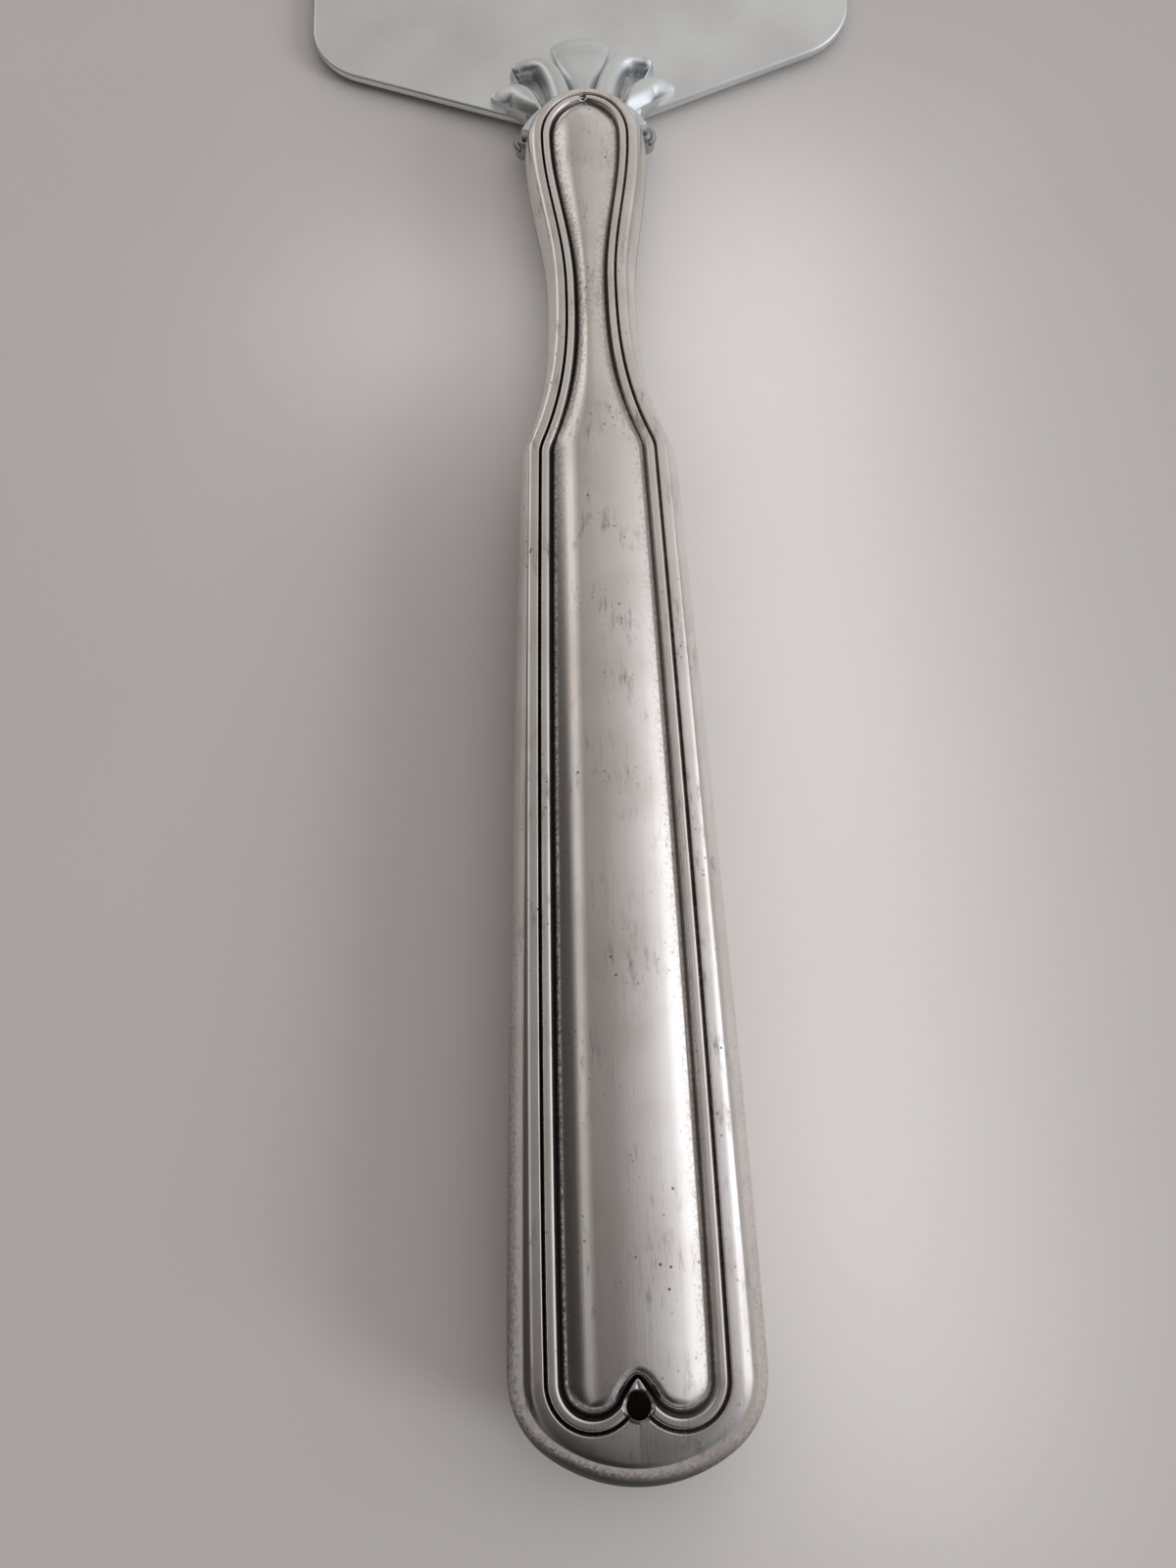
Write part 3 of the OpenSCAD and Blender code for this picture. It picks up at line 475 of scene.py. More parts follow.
    def panel_gap(self, p, butt_edge, butt_runs):
        """Distance from the panel's edge, and the share of the way in over its rounded edge."""
        if p.y <= self.butt_end_y:
            return near_edge(p, butt_edge, butt_runs)
        half = self.panel_half(p.y)
        gap = half - p.x
        if p.y > self.bulb_y:
            front = self.s.bulb_front_l - self.thread(self.bulb_y, self.e_panel)
            gap = half * (1 - math.hypot(p.x / half, (p.y - self.bulb_y) / front))
        return gap, gap / min(self.t.edge_run, half)

    def groove_d(self, p):
        """Depth of the inner groove, which fades at the front of the bulb."""
        front = clamp(1 - p.x / (self.FADE_SHARE * self.bulb_r))
        ahead = clamp((p.y - self.bulb_y) / self.s.bulb_front_l)
        return self.t.groove_depth * mix(1, self.FADE_LEFT, ease(front) * ease(ahead))

    def panel_z(self, p, share):
        """Height of the panel: a rounded edge that rises out of the inner groove, then a gentle crown."""
        half = self.panel_half(p.y)
        edge = 1 - (1 - clamp(share)) ** self.EDGE_POWER
        out = (p.x / half) ** 2 + (max(p.y - self.bulb_y, 0) / self.s.bulb_front_l) ** 2
        crown = self.crown_rise(p.y) * (1 - self.GENTLE_SHARE * out)
        return self.rim_z(p.y) - self.groove_d(p) + (crown + self.groove_d(p)) * edge


class ShellForm:
    """Height of the cast palmette over the blade, in millimetres: a middle petal, two ribs on each side."""

    # Powers that shape the petals' tops and flanks, a rib's steep outside, the middle petal's end and
    # back, and the ground between the petals
    ROUND_POWER = 0.55
    FLAT_POWER = 4
    OUTSIDE_POWER = 2
    END_POWER = 2.4
    BACK_POWER = 1.5
    GROUND_POWER = 0.7
    # Lean of a rib's foot, share of its width that its tip keeps, and steps along it
    FOOT_LEAN = 0.18
    TIP_SHARE = 0.6
    RIB_STEPS = 24
    # Share of a rib's length where its outside starts to be rubbed bright, share over which it gets so,
    # and how far out, in widths of the outside
    BARE_START = 0.3
    BARE_RUN = 0.25
    BARE_REACH = 1.5
    # Rounding where petals meet
    BLEND = 0.35
    # Place of the pole that the rays leave from, behind the front of the bulb
    POLE_BEHIND = 5.0
    # Steps in the search for a ray's end
    HALVINGS = 24

    def __init__(self, sizes, handle):
        self.s = sizes
        self.handle = handle
        self.middle_y = sizes.middle_l - sizes.middle_end
        upper = self.rib_path(Vector((sizes.upper_foot_x, sizes.upper_foot_y)), sizes.upper_rise,
                              Vector((sizes.upper_tip_x, sizes.upper_tip_y)))
        lower = self.rib_path(Vector((sizes.lower_foot_x, sizes.lower_foot_y)), sizes.lower_rise,
                              Vector((sizes.lower_tip_x, sizes.lower_tip_y)))
        self.ribs = ((upper, sizes.upper_in, sizes.upper_foot_h, sizes.upper_tip_h),
                     (lower, sizes.lower_in, sizes.lower_foot_h, sizes.lower_tip_h))

    def rib_path(self, foot, rise, tip):
        """Points along a rib that runs ahead from its foot and curls out to its tip."""
        ahead = foot + rise * Vector((self.FOOT_LEAN, 1))
        corners = (foot, ahead, tip + Vector((-self.s.curl_x, self.s.curl_y)), tip)
        return [curve_point(corners, t) for t in spaced(0, 1, self.RIB_STEPS) + [1]]

    def rib_w(self, inside, t, side):
        """Width of a rib at a share of its length, from its gentle inside (-1) to its steep outside (1)."""
        return mix(inside, self.s.rib_out, ease((1 + side) / 2)) * mix(1, self.TIP_SHARE, t)

    def middle_share(self, p):
        """Distance from the middle petal's middle line or end, as a share of the way to its edge."""
        s = self.s
        if p.y > self.middle_y:
            n = self.END_POWER
            return (abs(p.x / s.middle_r) ** n + ((p.y - self.middle_y) / s.middle_end) ** n) ** (1 / n)
        return abs(p.x) / mix(s.middle_foot, s.middle_r, max(p.y / self.middle_y, 0) ** 2)

    def relief(self, p):
        """Height of the highest petal or rib at a point ahead of the bulb, and its share of the crest."""
        s = self.s
        top = max(1 - self.middle_share(p) ** self.FLAT_POWER, 0) ** self.ROUND_POWER
        best = max(top, ease(clamp((p.y - self.middle_y) / s.middle_end + 1)))
        h = top * mix(s.middle_tip_h, s.middle_back_h, (1 - clamp(p.y / self.middle_y)) ** self.BACK_POWER)
        for path, inside, foot_h, tip_h in self.ribs:
            far, t, side = near_path(p, path)
            power = mix(self.FLAT_POWER, self.OUTSIDE_POWER, (1 + side) / 2)
            share = max(1 - (far / self.rib_w(inside, t, side)) ** power, 0) ** self.ROUND_POWER
            h = soft_max(h, mix(foot_h, tip_h, t) * share, self.BLEND)
            # The outside of a rib stays bright along its curl
            out = clamp(2 * side) * clamp(2 * (self.BARE_REACH - far / s.rib_out))
            best = max(best, share, out * clamp((t - self.BARE_START) / self.BARE_RUN))
        return h, best

    def height(self, relief, share, turn):
        """Height of the casting over the blade, which thins out towards its lower edges."""
        ground = mix(self.s.valley_h, self.s.rim_h, clamp(share) ** self.GROUND_POWER)
        thin = math.sqrt(ease(clamp((self.s.fan_turn - turn) / self.s.thin_turn)))
        return mix(self.s.rim_h, soft_max(relief, ground, self.BLEND), thin)

    def ray_end(self, ray, mid, r):
        """Distance along a ray from the pole to the far side of a circle."""
        m = mid + Vector((0, self.POLE_BEHIND))
        near = m.dot(ray)
        room = r * r - m.length_squared + near * near
        return near + math.sqrt(room) if room > 0 else 0

    def ray_foot(self, ray):
        """Distance along a ray from the pole to the bulb's front."""
        h = self.handle
        a, b = h.bulb_r + self.s.fit, h.s.bulb_front_l + self.s.fit
        start = h.s.bulb_front_l - self.POLE_BEHIND
        qa = (ray.x / a) ** 2 + (ray.y / b) ** 2
        qb = ray.y * start / b ** 2
        return (-qb + math.sqrt(qb * qb - qa * ((start / b) ** 2 - 1))) / qa

    def ray_reach(self, ray):
        """Distance along a ray from the pole to the outermost rib or to the end of the middle petal."""
        s = self.s
        ends = [self.middle_end(ray)]
        for path, inside, *_ in self.ribs:
            for i, p in enumerate(path):
                ends.append(self.ray_end(ray, p, self.rib_w(inside, i / self.RIB_STEPS, 1) + s.rib_edge))
        return max(ends)

    def middle_end(self, ray):
        """Distance along a ray from the pole to the end of the middle petal."""
        low, high = self.POLE_BEHIND, self.POLE_BEHIND + 2 * self.s.middle_l
        for _ in range(self.HALVINGS):
            mid = (low + high) / 2
            if self.middle_share(ray * mid - Vector((0, self.POLE_BEHIND))) < 1:
                low = mid
            else:
                high = mid
        return low + self.s.rib_edge


class ServerForm:
    """All sizes of the server, and how it lies on the table."""

    def __init__(self, scene):
        self.blade = sizes_of(scene.server_blade)
        self.handle = HandleForm(sizes_of(scene.server_handle), sizes_of(scene.server_thread))
        self.shell = ShellForm(sizes_of(scene.server_shell), self.handle)
        self.blade_top = self.blade.blade_t / 2 - self.blade.blade_drop
        self.blade_under = self.blade_top - self.blade.blade_t
        self.root_y = self.handle.s.handle_l - self.blade.root_under
        self.tip_y = self.root_y + self.blade.blade_l
        # The belly of the butt and the tip of the blade touch the table
        belly = self.handle.s.butt_t / 2 + self.blade_under
        tilt = math.atan(belly / (self.tip_y - self.handle.lobe_y))
        mid = (self.tip_y * math.cos(tilt) + self.blade_top * math.sin(tilt)) / 2
        lift = self.tip_y * math.sin(tilt) - self.blade_under * math.cos(tilt)
        lay = Matrix.Translation((0, -mid, lift)) @ Matrix.Rotation(-tilt, 4, "X")
        self.laid = Matrix.Scale(MM, 4) @ lay


def add_grid(bm, across, along, place):
    """Adds a grid of faces and hands each vertex, with its column and row, to place."""
    grid = bmesh.ops.create_grid(bm, x_segments=across, y_segments=along, size=1)
    for vert in grid["verts"]:
        place(vert, round((vert.co.x + 1) / 2 * across), round((vert.co.y + 1) / 2 * along))
    return grid["verts"]


def mirror_across(bm):
    """Adds the left half, welds the middle and the collapsed places, and turns the faces outwards."""
    for vert in bm.verts:
        if abs(vert.co.x) < 2 * WELD:
            vert.co.x = 0
    bmesh.ops.remove_doubles(bm, verts=bm.verts[:], dist=WELD)
    flat = [f for f in bm.faces if all(v.co.x == 0 for v in f.verts)]
    bmesh.ops.delete(bm, geom=flat, context="FACES")
    bmesh.ops.mirror(bm, geom=bm.verts[:] + bm.edges[:] + bm.faces[:], axis="X", merge_dist=WELD)
    bmesh.ops.remove_doubles(bm, verts=bm.verts[:], dist=WELD)
    bmesh.ops.dissolve_degenerate(bm, edges=bm.edges[:], dist=WELD / 2)
    bmesh.ops.recalc_face_normals(bm, faces=bm.faces[:])


def extrude(bm, faces):
    """Extrudes faces and hands back the new vertices."""
    new = bmesh.ops.extrude_face_region(bm, geom=faces)["geom"]
    return [item for item in new if isinstance(item, bmesh.types.BMVert)]


def round_edges(bm, edges, width, segments):
    """Rounds edges off over a width."""
    bmesh.ops.bevel(bm, geom=edges, offset=width, affect="EDGES", segments=segments, profile=0.5, material=-1)


def new_object(bm, name):
    """Turns a bmesh into an object of the scene."""
    mesh = bpy.data.meshes.new(name)
    bm.to_mesh(mesh)
    bm.free()
    made = bpy.data.objects.new(name, mesh)
    bpy.context.scene.collection.objects.link(made)
    return made


def finish_piece(bm, name, form, material, nodes, sharp=50):
    """Turns a bmesh into a laid piece that stands for its CAD nodes, sharp past a turn in degrees."""
    bmesh.ops.recalc_face_normals(bm, faces=bm.faces[:])
    bm.transform(form.laid)
    piece = new_object(bm, name)
    for face in piece.data.polygons:
        face.use_smooth = True
    piece.data.set_sharp_from_angle(angle=math.radians(sharp))
    piece.data.materials.append(material)
    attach(piece, "root")
    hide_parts(*nodes)
    return piece


# Steps along the parts of the handle's outline
FINE = SimpleNamespace(bulb=40, neck=44, flare=40, body=64, tail=40, lobe=32, cusp=16)
# Steps across the handle's side wall, the rim, each flank of a thread, the panel and the hollow's ceiling
WALL_STEPS = 12
RIM_STEPS = 4
FLANK_STEPS = 8
PANEL_STEPS = 28
CEILING_STEPS = 6
# How close to the groove most of each flank's fall lies
FLANK_POWERS = (3, 4, 4)
# Depth of the pit at the front of the bulb, in groove depths, and its fall for each groove width
PIT_DEPTH = 1.5
PIT_FALL = 1.3
# Tarnish and painted shade at the foot of the side wall near the butt and along the neck, and at the butt's
# end; tarnish in the inner groove, and on the panel's rounded edge, which it covers some groove widths in
WALL_DIRT_AND_SHADE = 0.8
NECK_DIRT_AND_SHADE = 0.2
END_DIRT_AND_SHADE = 1.5
GROOVE_DIRT = 1.15
EDGE_DIRT = 0.7
EDGE_SPREAD = 4
# Segments of a rounded edge, and sides of the vent hole
ROUND_SEGMENTS = 4
VENT_SIDES = 64


def thread_profile(form):
    """Steps in from the rim's outer edge and heights over it: rising rim, groove, bead and half a groove."""
    depth = form.t.groove_depth
    rise = form.t.bead_rise
    profile = [(form.e_lip * t, rise * math.sin(QUARTER * t)) for t in spaced(0, 1, RIM_STEPS)[1:]]
    flanks = ((form.e_lip, form.e_outer), (form.e_crest, form.e_outer), (form.e_crest, form.e_panel))
    for (high, low), power in zip(flanks, FLANK_POWERS):
        shares = spaced(0, 1, FLANK_STEPS) + [1]
        steps = [(mix(high, low, t), mix(rise, -depth, ease(t) ** power)) for t in shares]
        # The bead's outer flank runs up from the groove
        profile += steps[:0:-1] if low < high else steps
    return profile


def thread_relief(form, p, e, dz):
    """Height of a thread line over the rim where beads run together, the inner groove fades or a pit lies."""
    if p.y < form.cusp_y and e < form.e_crest:
        near = ease(clamp(2 * (1 - p.x / form.t.bead_w)))
        dz = mix(dz, max(dz, 0), near * ease(clamp(2 * (p.y - form.vent_y) / form.t.vent_d)))
    if e > form.e_crest and dz < 0:
        dz *= form.groove_d(p) / form.t.groove_depth
    front = Vector((0, form.s.handle_l - form.thread(form.bulb_y, form.e_crest)))
    pit = clamp(1 - PIT_FALL * (p - front).length / form.t.inner_groove_w)
    return dz - PIT_DEPTH * form.t.groove_depth * ease(pit)


def half_shell(form):
    """One struck half of the handle above the seam, with its hollow, as a bmesh."""
    bm = bmesh.new()
    # The tarnish attribute holds real tarnish, and also painted shade on the side wall and in the hollow
    tarnish = bm.verts.layers.float.new("tarnish")
    line = bm.verts.layers.int.new("line")
    places = form.outline(FINE)
    turns = [form.WALL_TURN * i / WALL_STEPS for i in range(WALL_STEPS + 1)]
    threads = thread_profile(form)
    seam_z = form.s.seam_t / 2

    def wall_part(turn):
        # Share of the way in to the rim at a turn of the wall
        return (1 - math.cos(turn)) / (1 - math.cos(form.WALL_TURN))

    def border(vert, i, k):
        if k <= WALL_STEPS:
            p = form.wall_point(places[i], wall_part(turns[k]))
            z = mix(seam_z, form.rim_z(p.y), math.sin(turns[k]) / math.sin(form.WALL_TURN))
        else:
            e, dz = threads[k - WALL_STEPS - 1]
            p = form.thread_point(places[i], e)
            dz = thread_relief(form, p, e, dz)
            z = form.rim_z(p.y) + dz
            vert[tarnish] = clamp(-dz / form.t.groove_depth)
        if k < WALL_STEPS:
            zone, value = places[i]
            # Tarnish and painted shade on the side wall: darkest at its foot by the table, strongest near the
            # butt and round its end, weaker along the neck
            end = {"corner": ease(value / QUARTER), "lobe": 1, "cusp": 1}.get(zone, 0)
            side = mix(WALL_DIRT_AND_SHADE, NECK_DIRT_AND_SHADE, ease(clamp(p.y / form.s.shoulder_y)))
            vert[tarnish] = mix(side, END_DIRT_AND_SHADE, end) * (1 - (k / WALL_STEPS) ** 2)
        vert[line] = k
        vert.co = (p.x, p.y, z)

    edge = [form.thread_point(place, form.e_panel) for place in places]
    last = len(edge) - 1
    n_side = sum(zone in ("bulb", "side") for zone, _ in places)
    split = n_side - FINE.cusp
    butt = [i for i in range(last + 1) if edge[i].y <= form.butt_end_y]
    butt_edge = [edge[i] for i in butt]
    butt_runs = [form.edge_run(places[i]) for i in butt]

    def panel(vert, i, k):
        t = k / PANEL_STEPS
        outer = edge[i]
        if i < split:
            near = ease(clamp((i - split + FINE.tail) / FINE.tail))
            p = mix(Vector((0, outer.y)), outer, mix(math.sin(QUARTER * t), ease(t), near))
        else:
            p = mix(edge[last - (i - split)], outer, ease(t))
        on_edge = k == PANEL_STEPS or (k == 0 and i >= split)
        gap, share = (0, 0) if on_edge else form.panel_gap(p, butt_edge, butt_runs)
        widths = gap / form.t.inner_groove_w
        vert[tarnish] = max(clamp(GROOVE_DIRT - widths), EDGE_DIRT * clamp(1 - widths / EDGE_SPREAD))
        vert.co = (p.x, p.y, form.panel_z(p, share))

    def hollow(vert, i, k):
        turn = form.WALL_TURN * min(k / CEILING_STEPS, 1)
        p = form.wall_point(places[i], wall_part(turn), form.s.wall)
        top = form.rim_z(p.y) - form.s.wall - form.t.groove_depth
        x = p.x * (1 - max(k / CEILING_STEPS - 1, 0))
        # Painted shade with tarnish: the hollow inside the handle is coloured fully dark
        vert[tarnish] = 1
        vert.co = (x, p.y, mix(seam_z, top, math.sin(turn) / math.sin(form.WALL_TURN)))

    def seam(vert, i, k):
        p = form.wall_point(places[i], 0, form.s.wall * k)
        vert.co = (p.x, p.y, seam_z)

    add_grid(bm, last, WALL_STEPS + len(threads), border)
    add_grid(bm, n_side + FINE.lobe, PANEL_STEPS, panel)
    add_grid(bm, last, 2 * CEILING_STEPS, hollow)
    add_grid(bm, last, 1, seam)
    mirror_across(bm)
    rim = [e for e in bm.edges if all(v[line] == WALL_STEPS for v in e.verts)]
    round_edges(bm, rim, form.t.rim_round, ROUND_SEGMENTS)
    bm.verts.layers.int.remove(line)
    return bm


def vent_cutter(form):
    """A countersunk drill that cuts the vent hole, as a bmesh in millimetres."""
    bm = bmesh.new()
    tarnish = bm.verts.layers.float.new("tarnish")
    r = form.t.vent_d / 2
    sink = form.t.vent_sink
    top = form.rim_z(form.vent_y)
    wide = r + 2 * sink
    corners = [(0, 0), (r, 0), (r, top - sink), (wide, top + sink), (wide, 2 * top), (0, 2 * top)]
    chain = [bm.verts.new((x, 0, z)) for x, z in corners]
    # Painted shade with tarnish: the bore of the vent is coloured darker towards its bottom
    for vert in chain[:2]:
        vert[tarnish] = 1
    edges = [bm.edges.new(pair) for pair in zip(chain, chain[1:])]
    bmesh.ops.spin(bm, geom=chain + edges, cent=(0, 0, 0), axis=(0, 0, 1), angle=2 * math.pi,
                   steps=VENT_SIDES, use_merge=True)
    bmesh.ops.remove_doubles(bm, verts=bm.verts[:], dist=WELD)
    bmesh.ops.recalc_face_normals(bm, faces=bm.faces[:])
    bmesh.ops.translate(bm, verts=bm.verts[:], vec=(0, form.vent_y, 0))
    return bm


def drill(piece, bm, laid):
    """Cuts the shape in a bmesh out of a piece."""
    bm.transform(laid)
    cutter = new_object(bm, "vent_cutter")
    cut = piece.modifiers.new("Vent", "BOOLEAN")
    cut.object = cutter
    cut.operation = "DIFFERENCE"
    cut.solver = "EXACT"
    spent = (cutter.data, piece.data)
    piece.data = bpy.data.meshes.new_from_object(piece.evaluated_get(bpy.context.evaluated_depsgraph_get()))
    piece.data.name = piece.name
    piece.modifiers.clear()
    bpy.data.objects.remove(cutter)
    for mesh in spent:
        bpy.data.meshes.remove(mesh)


class SERVER_OT_handle_halves(bpy.types.Operator):
    """Models the struck upper and lower halves of the handle"""

    bl_idname = "cake_server.handle_halves"
    bl_label = "Handle Halves"

    def execute(self, context):
        form = ServerForm(context.scene)
        silver = struck_silver(context.scene.server_colours)
        upper = half_shell(form.handle)
        lower = half_shell(form.handle)
        bmesh.ops.scale(lower, vec=(1, 1, -1), verts=lower.verts[:])
        piece = finish_piece(upper, "handle_upper", form, silver, ["upper_handle_shell"])
        drill(piece, vent_cutter(form.handle), form.laid)
        finish_piece(lower, "handle_lower", form, silver, ["lower_handle_shell"])
        return {"FINISHED"}


# How far the solder stands out, as a share of half its thickness
SEAM_BULGE = 0.25


class SERVER_OT_solder_seam(bpy.types.Operator):
    """Models the solder line between the two halves of the handle"""

    bl_idname = "cake_server.solder_seam"
    bl_label = "Solder Seam"

    def execute(self, context):
        form = ServerForm(context.scene)
        handle = form.handle
        half = handle.s.seam_t / 2
        wall = handle.s.wall
        section = [(0, -half), (-SEAM_BULGE * half, 0), (0, half), (wall, half), (wall, -half), (0, -half)]
        places = handle.outline(FINE)

        def ring(vert, i, k):
            step, z = section[k]
            p = handle.wall_point(places[i], 0, step)
            vert.co = (p.x, p.y, z)

        bm = bmesh.new()
        add_grid(bm, len(places) - 1, len(section) - 1, ring)
        mirror_across(bm)
        solder = silver_solder(context.scene.server_colours)
        finish_piece(bm, "seam_solder", form, solder, ["solder_seam"])
        return {"FINISHED"}


# Steps across half of the shell and out along its rays, the power by which they crowd at the rays' ends, and
# steps round the collar and along and round a scroll
RAY_STEPS = 120
REACH_STEPS = 60
REACH_POWER = 1.35
COLLAR_STEPS = 64
SCROLL_STEPS = 48
SCROLL_SIDES = 16
# Tarnish of the shell, how much fills its valleys and how much its crests shed
SHELL_DIRT = 0.5
VALLEY_DIRT = 1.8
CREST_CLEAR = 2.2
# Rounding of the collar's edge, as a share of its width
COLLAR_ROUND = 0.2
# Turns of a scroll, and its thickness, distance from the middle and height, each from its outer to its
# inner end, as shares of its radius and height
SCROLL_TURNS = 1.6
SCROLL_THICK = (0.4, 0.22)
SCROLL_WIND = (0.72, 0.1)
SCROLL_RISE = (0.6, 0.8)
# Share of its length at which a scroll's end is cut, and the power that rounds it
SCROLL_CUT = 0.02
SCROLL_ROUND = 0.25
# Tarnish of a scroll at its sides, and how much its top sheds
SCROLL_DIRT = 1.1
SCROLL_CLEAR = 1 / 3
# The stub under a scroll: its sides, radius below and above and height, as shares, and its tarnish
STUB_SIDES = 40
STUB_R = (0.8, 0.7)
STUB_H = 0.7
STUB_DIRT = 0.8


def add_fan(bm, form, tarnish):
    """Adds the petals of the shell, as one closed casting on the blade."""
    shell = form.shell
    ahead = form.handle.s.handle_l
    turns = spaced(0, shell.s.fan_turn, RAY_STEPS) + [shell.s.fan_turn]
    rays = [Vector((math.sin(a), math.cos(a))) for a in turns]
    feet = [shell.ray_foot(ray) for ray in rays]
    reaches = [shell.ray_reach(ray) for ray in rays]

    def petals(vert, i, k):
        share = 1 - (1 - k / REACH_STEPS) ** REACH_POWER
        p = rays[i] * mix(feet[i], reaches[i], share) - Vector((0, shell.POLE_BEHIND))
        relief, crest = shell.relief(p)
        dirt = clamp(VALLEY_DIRT - CREST_CLEAR * crest)
        vert[tarnish] = SHELL_DIRT * dirt * clamp(p.x / shell.s.middle_foot)
        vert.co = (p.x, ahead + p.y, form.blade_top + shell.height(relief, share, turns[i]))

    add_grid(bm, RAY_STEPS, REACH_STEPS, petals)
    mirror_across(bm)
    for vert in extrude(bm, bm.faces[:]):
        vert.co.z = form.blade_top


def add_collar(bm, form):
    """Adds the band round the front of the bulb, from scroll to scroll."""
    s = form.shell.s
    faces = set(bm.faces)

    def band(vert, i, k):
        a = mix(s.scroll_turn, math.pi - s.scroll_turn, i / COLLAR_STEPS)
        p = form.handle.bulb_point(a, -s.fit - k * s.collar_w)
        vert.co = (p.x, p.y, form.blade_top)

    add_grid(bm, COLLAR_STEPS, 1, band)
    raised = extrude(bm, [f for f in bm.faces if f not in faces])
    bmesh.ops.translate(bm, verts=raised, vec=(0, 0, s.collar_h))
    raised = set(raised)
    edges = [e for e in bm.edges if all(v in raised for v in e.verts) and not e.is_boundary
             and abs(e.calc_face_angle(0)) > QUARTER / 2]
    round_edges(bm, edges, COLLAR_ROUND * s.collar_w, ROUND_SEGMENTS)


def add_scrolls(bm, form, tarnish):
    """Adds the small volutes beside the bulb: a tapering roll wound in on itself."""
    s = form.shell.s
    mid = form.handle.bulb_point(s.scroll_turn, -s.fit - s.scroll_out)

    for side in (-1, 1):
        def roll(vert, i, k):
            t = i / SCROLL_STEPS
            around = 2 * math.pi * k / SCROLL_SIDES
            end = math.sin(math.pi * clamp(t, SCROLL_CUT, 1 - SCROLL_CUT)) ** SCROLL_ROUND
            thick = mix(*SCROLL_THICK, t) * s.scroll_r * end
            wind = mix(*SCROLL_WIND, t) * s.scroll_r + thick * math.cos(around)
            a = s.scroll_turn - QUARTER + SCROLL_TURNS * 2 * math.pi * t
            z = form.blade_top + s.scroll_h * mix(*SCROLL_RISE, t) + thick * math.sin(around)
            vert[tarnish] = clamp(SCROLL_DIRT - SCROLL_CLEAR * math.sin(around))
            vert.co = (side * (mid.x + wind * math.cos(a)), mid.y + wind * math.sin(a), z)

        verts = add_grid(bm, SCROLL_STEPS, SCROLL_SIDES, roll)
        bmesh.ops.remove_doubles(bm, verts=verts, dist=WELD)
        bmesh.ops.holes_fill(bm, edges=[e for e in bm.edges if e.is_boundary], sides=SCROLL_SIDES)
        low_r, high_r = (share * s.scroll_r for share in STUB_R)
        stub = bmesh.ops.create_cone(bm, cap_ends=True, segments=STUB_SIDES, radius1=low_r, radius2=high_r,
                                     depth=STUB_H * s.scroll_h)["verts"]
        foot = Vector((side * mid.x, mid.y, form.blade_top + STUB_H / 2 * s.scroll_h))
        bmesh.ops.translate(bm, verts=stub, vec=foot)
        for vert in stub:
            vert[tarnish] = STUB_DIRT


class SERVER_OT_shell(bpy.types.Operator):
    """Models the cast palmette shell with its collar and scrolls"""

    bl_idname = "cake_server.shell"
    bl_label = "Shell"

    def execute(self, context):
        form = ServerForm(context.scene)
        bm = bmesh.new()
        tarnish = bm.verts.layers.float.new("tarnish")
        add_fan(bm, form, tarnish)
        add_collar(bm, form)
        add_scrolls(bm, form, tarnish)
        silver = cast_silver(context.scene.server_colours)
        finish_piece(bm, "palmette_shell", form, silver, ["shell_bolster"])
        return {"FINISHED"}


# Points along each arc of the blade's outline, segments of its bevel, and the turn, in degrees, past which
# an edge is sharp
ARC_STEPS = 28
BEVEL_SEGMENTS = 3
BLADE_SHARP = 35


def arc(mid, r, start, end):
    """Points along an arc."""
    return [mid + r * Vector((math.cos(a), math.sin(a))) for a in spaced(start, end, ARC_STEPS) + [end]]


def blade_side(form):
    """The right side of the blade's outline, from the root to the tip."""
    b = form.blade
    corner_x = b.blade_w / 2 - b.corner_r
    rise = (corner_x - b.root_half_w) * math.tan(b.base_slope) + b.corner_r / math.cos(b.base_slope)
    corner = Vector((corner_x, form.root_y + rise))
    tip = Vector((0, form.tip_y - b.tip_r))
    # Middle of the bow that touches the corner and the tip
    gap = tip - corner
    far = gap.length
    r1, r2 = b.bow_r - b.corner_r, b.bow_r - b.tip_r
    s = (far * far + r1 * r1 - r2 * r2) / (2 * far)
    bow = corner + gap / far * s + Vector((-gap.y, gap.x)) / far * math.sqrt(r1 * r1 - s * s)
    low = math.atan2(corner.y - bow.y, corner.x - bow.x)
    high = math.atan2(tip.y - bow.y, tip.x - bow.x)
    return ([Vector((b.root_half_w, form.root_y))] + arc(corner, b.corner_r, b.base_slope - QUARTER, low)
            + arc(bow, b.bow_r, low, high)[1:] + arc(tip, b.tip_r, high, QUARTER)[1:])


class SERVER_OT_blade(bpy.types.Operator):
    """Models the flat blade with its bevelled edge"""

    bl_idname = "cake_server.blade"
    bl_label = "Blade"

    def execute(self, context):
        form = ServerForm(context.scene)
        b = form.blade
        side = blade_side(form)
        loop = side + [Vector((-p.x, p.y)) for p in reversed(side[:-1])]
        bm = bmesh.new()
        verts = [bm.verts.new((p.x, p.y, form.blade_under)) for p in loop]
        raised = extrude(bm, [bm.faces.new(verts)])
        bmesh.ops.translate(bm, verts=raised, vec=(0, 0, b.blade_t))
        rims = [e for e in bm.edges if abs(e.verts[0].co.z - e.verts[1].co.z) < WELD]
        round_edges(bm, rims, b.edge_bevel, BEVEL_SEGMENTS)
        silver = rolled_silver(context.scene.server_colours)
        piece = finish_piece(bm, "flat_blade", form, silver, ["blade"], BLADE_SHARP)
        for face in piece.data.polygons:
            face.use_smooth = len(face.vertices) == 4
        return {"FINISHED"}


class SERVER_OT_hidden_pieces(bpy.types.Operator):
    """Gives the pieces inside the handle their materials"""

    bl_idname = "cake_server.hidden_pieces"
    bl_label = "Hidden Pieces"

    def execute(self, context):
        colours = context.scene.server_colours
        steel = drawn_steel(colours)
        finishes = {"tang": steel, "mouth_plate": steel, "handle_core": filling_cement(colours)}
        for node, material in finishes.items():
            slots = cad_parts[node].data.materials
            slots.clear()
            slots.append(material)
        return {"FINISHED"}


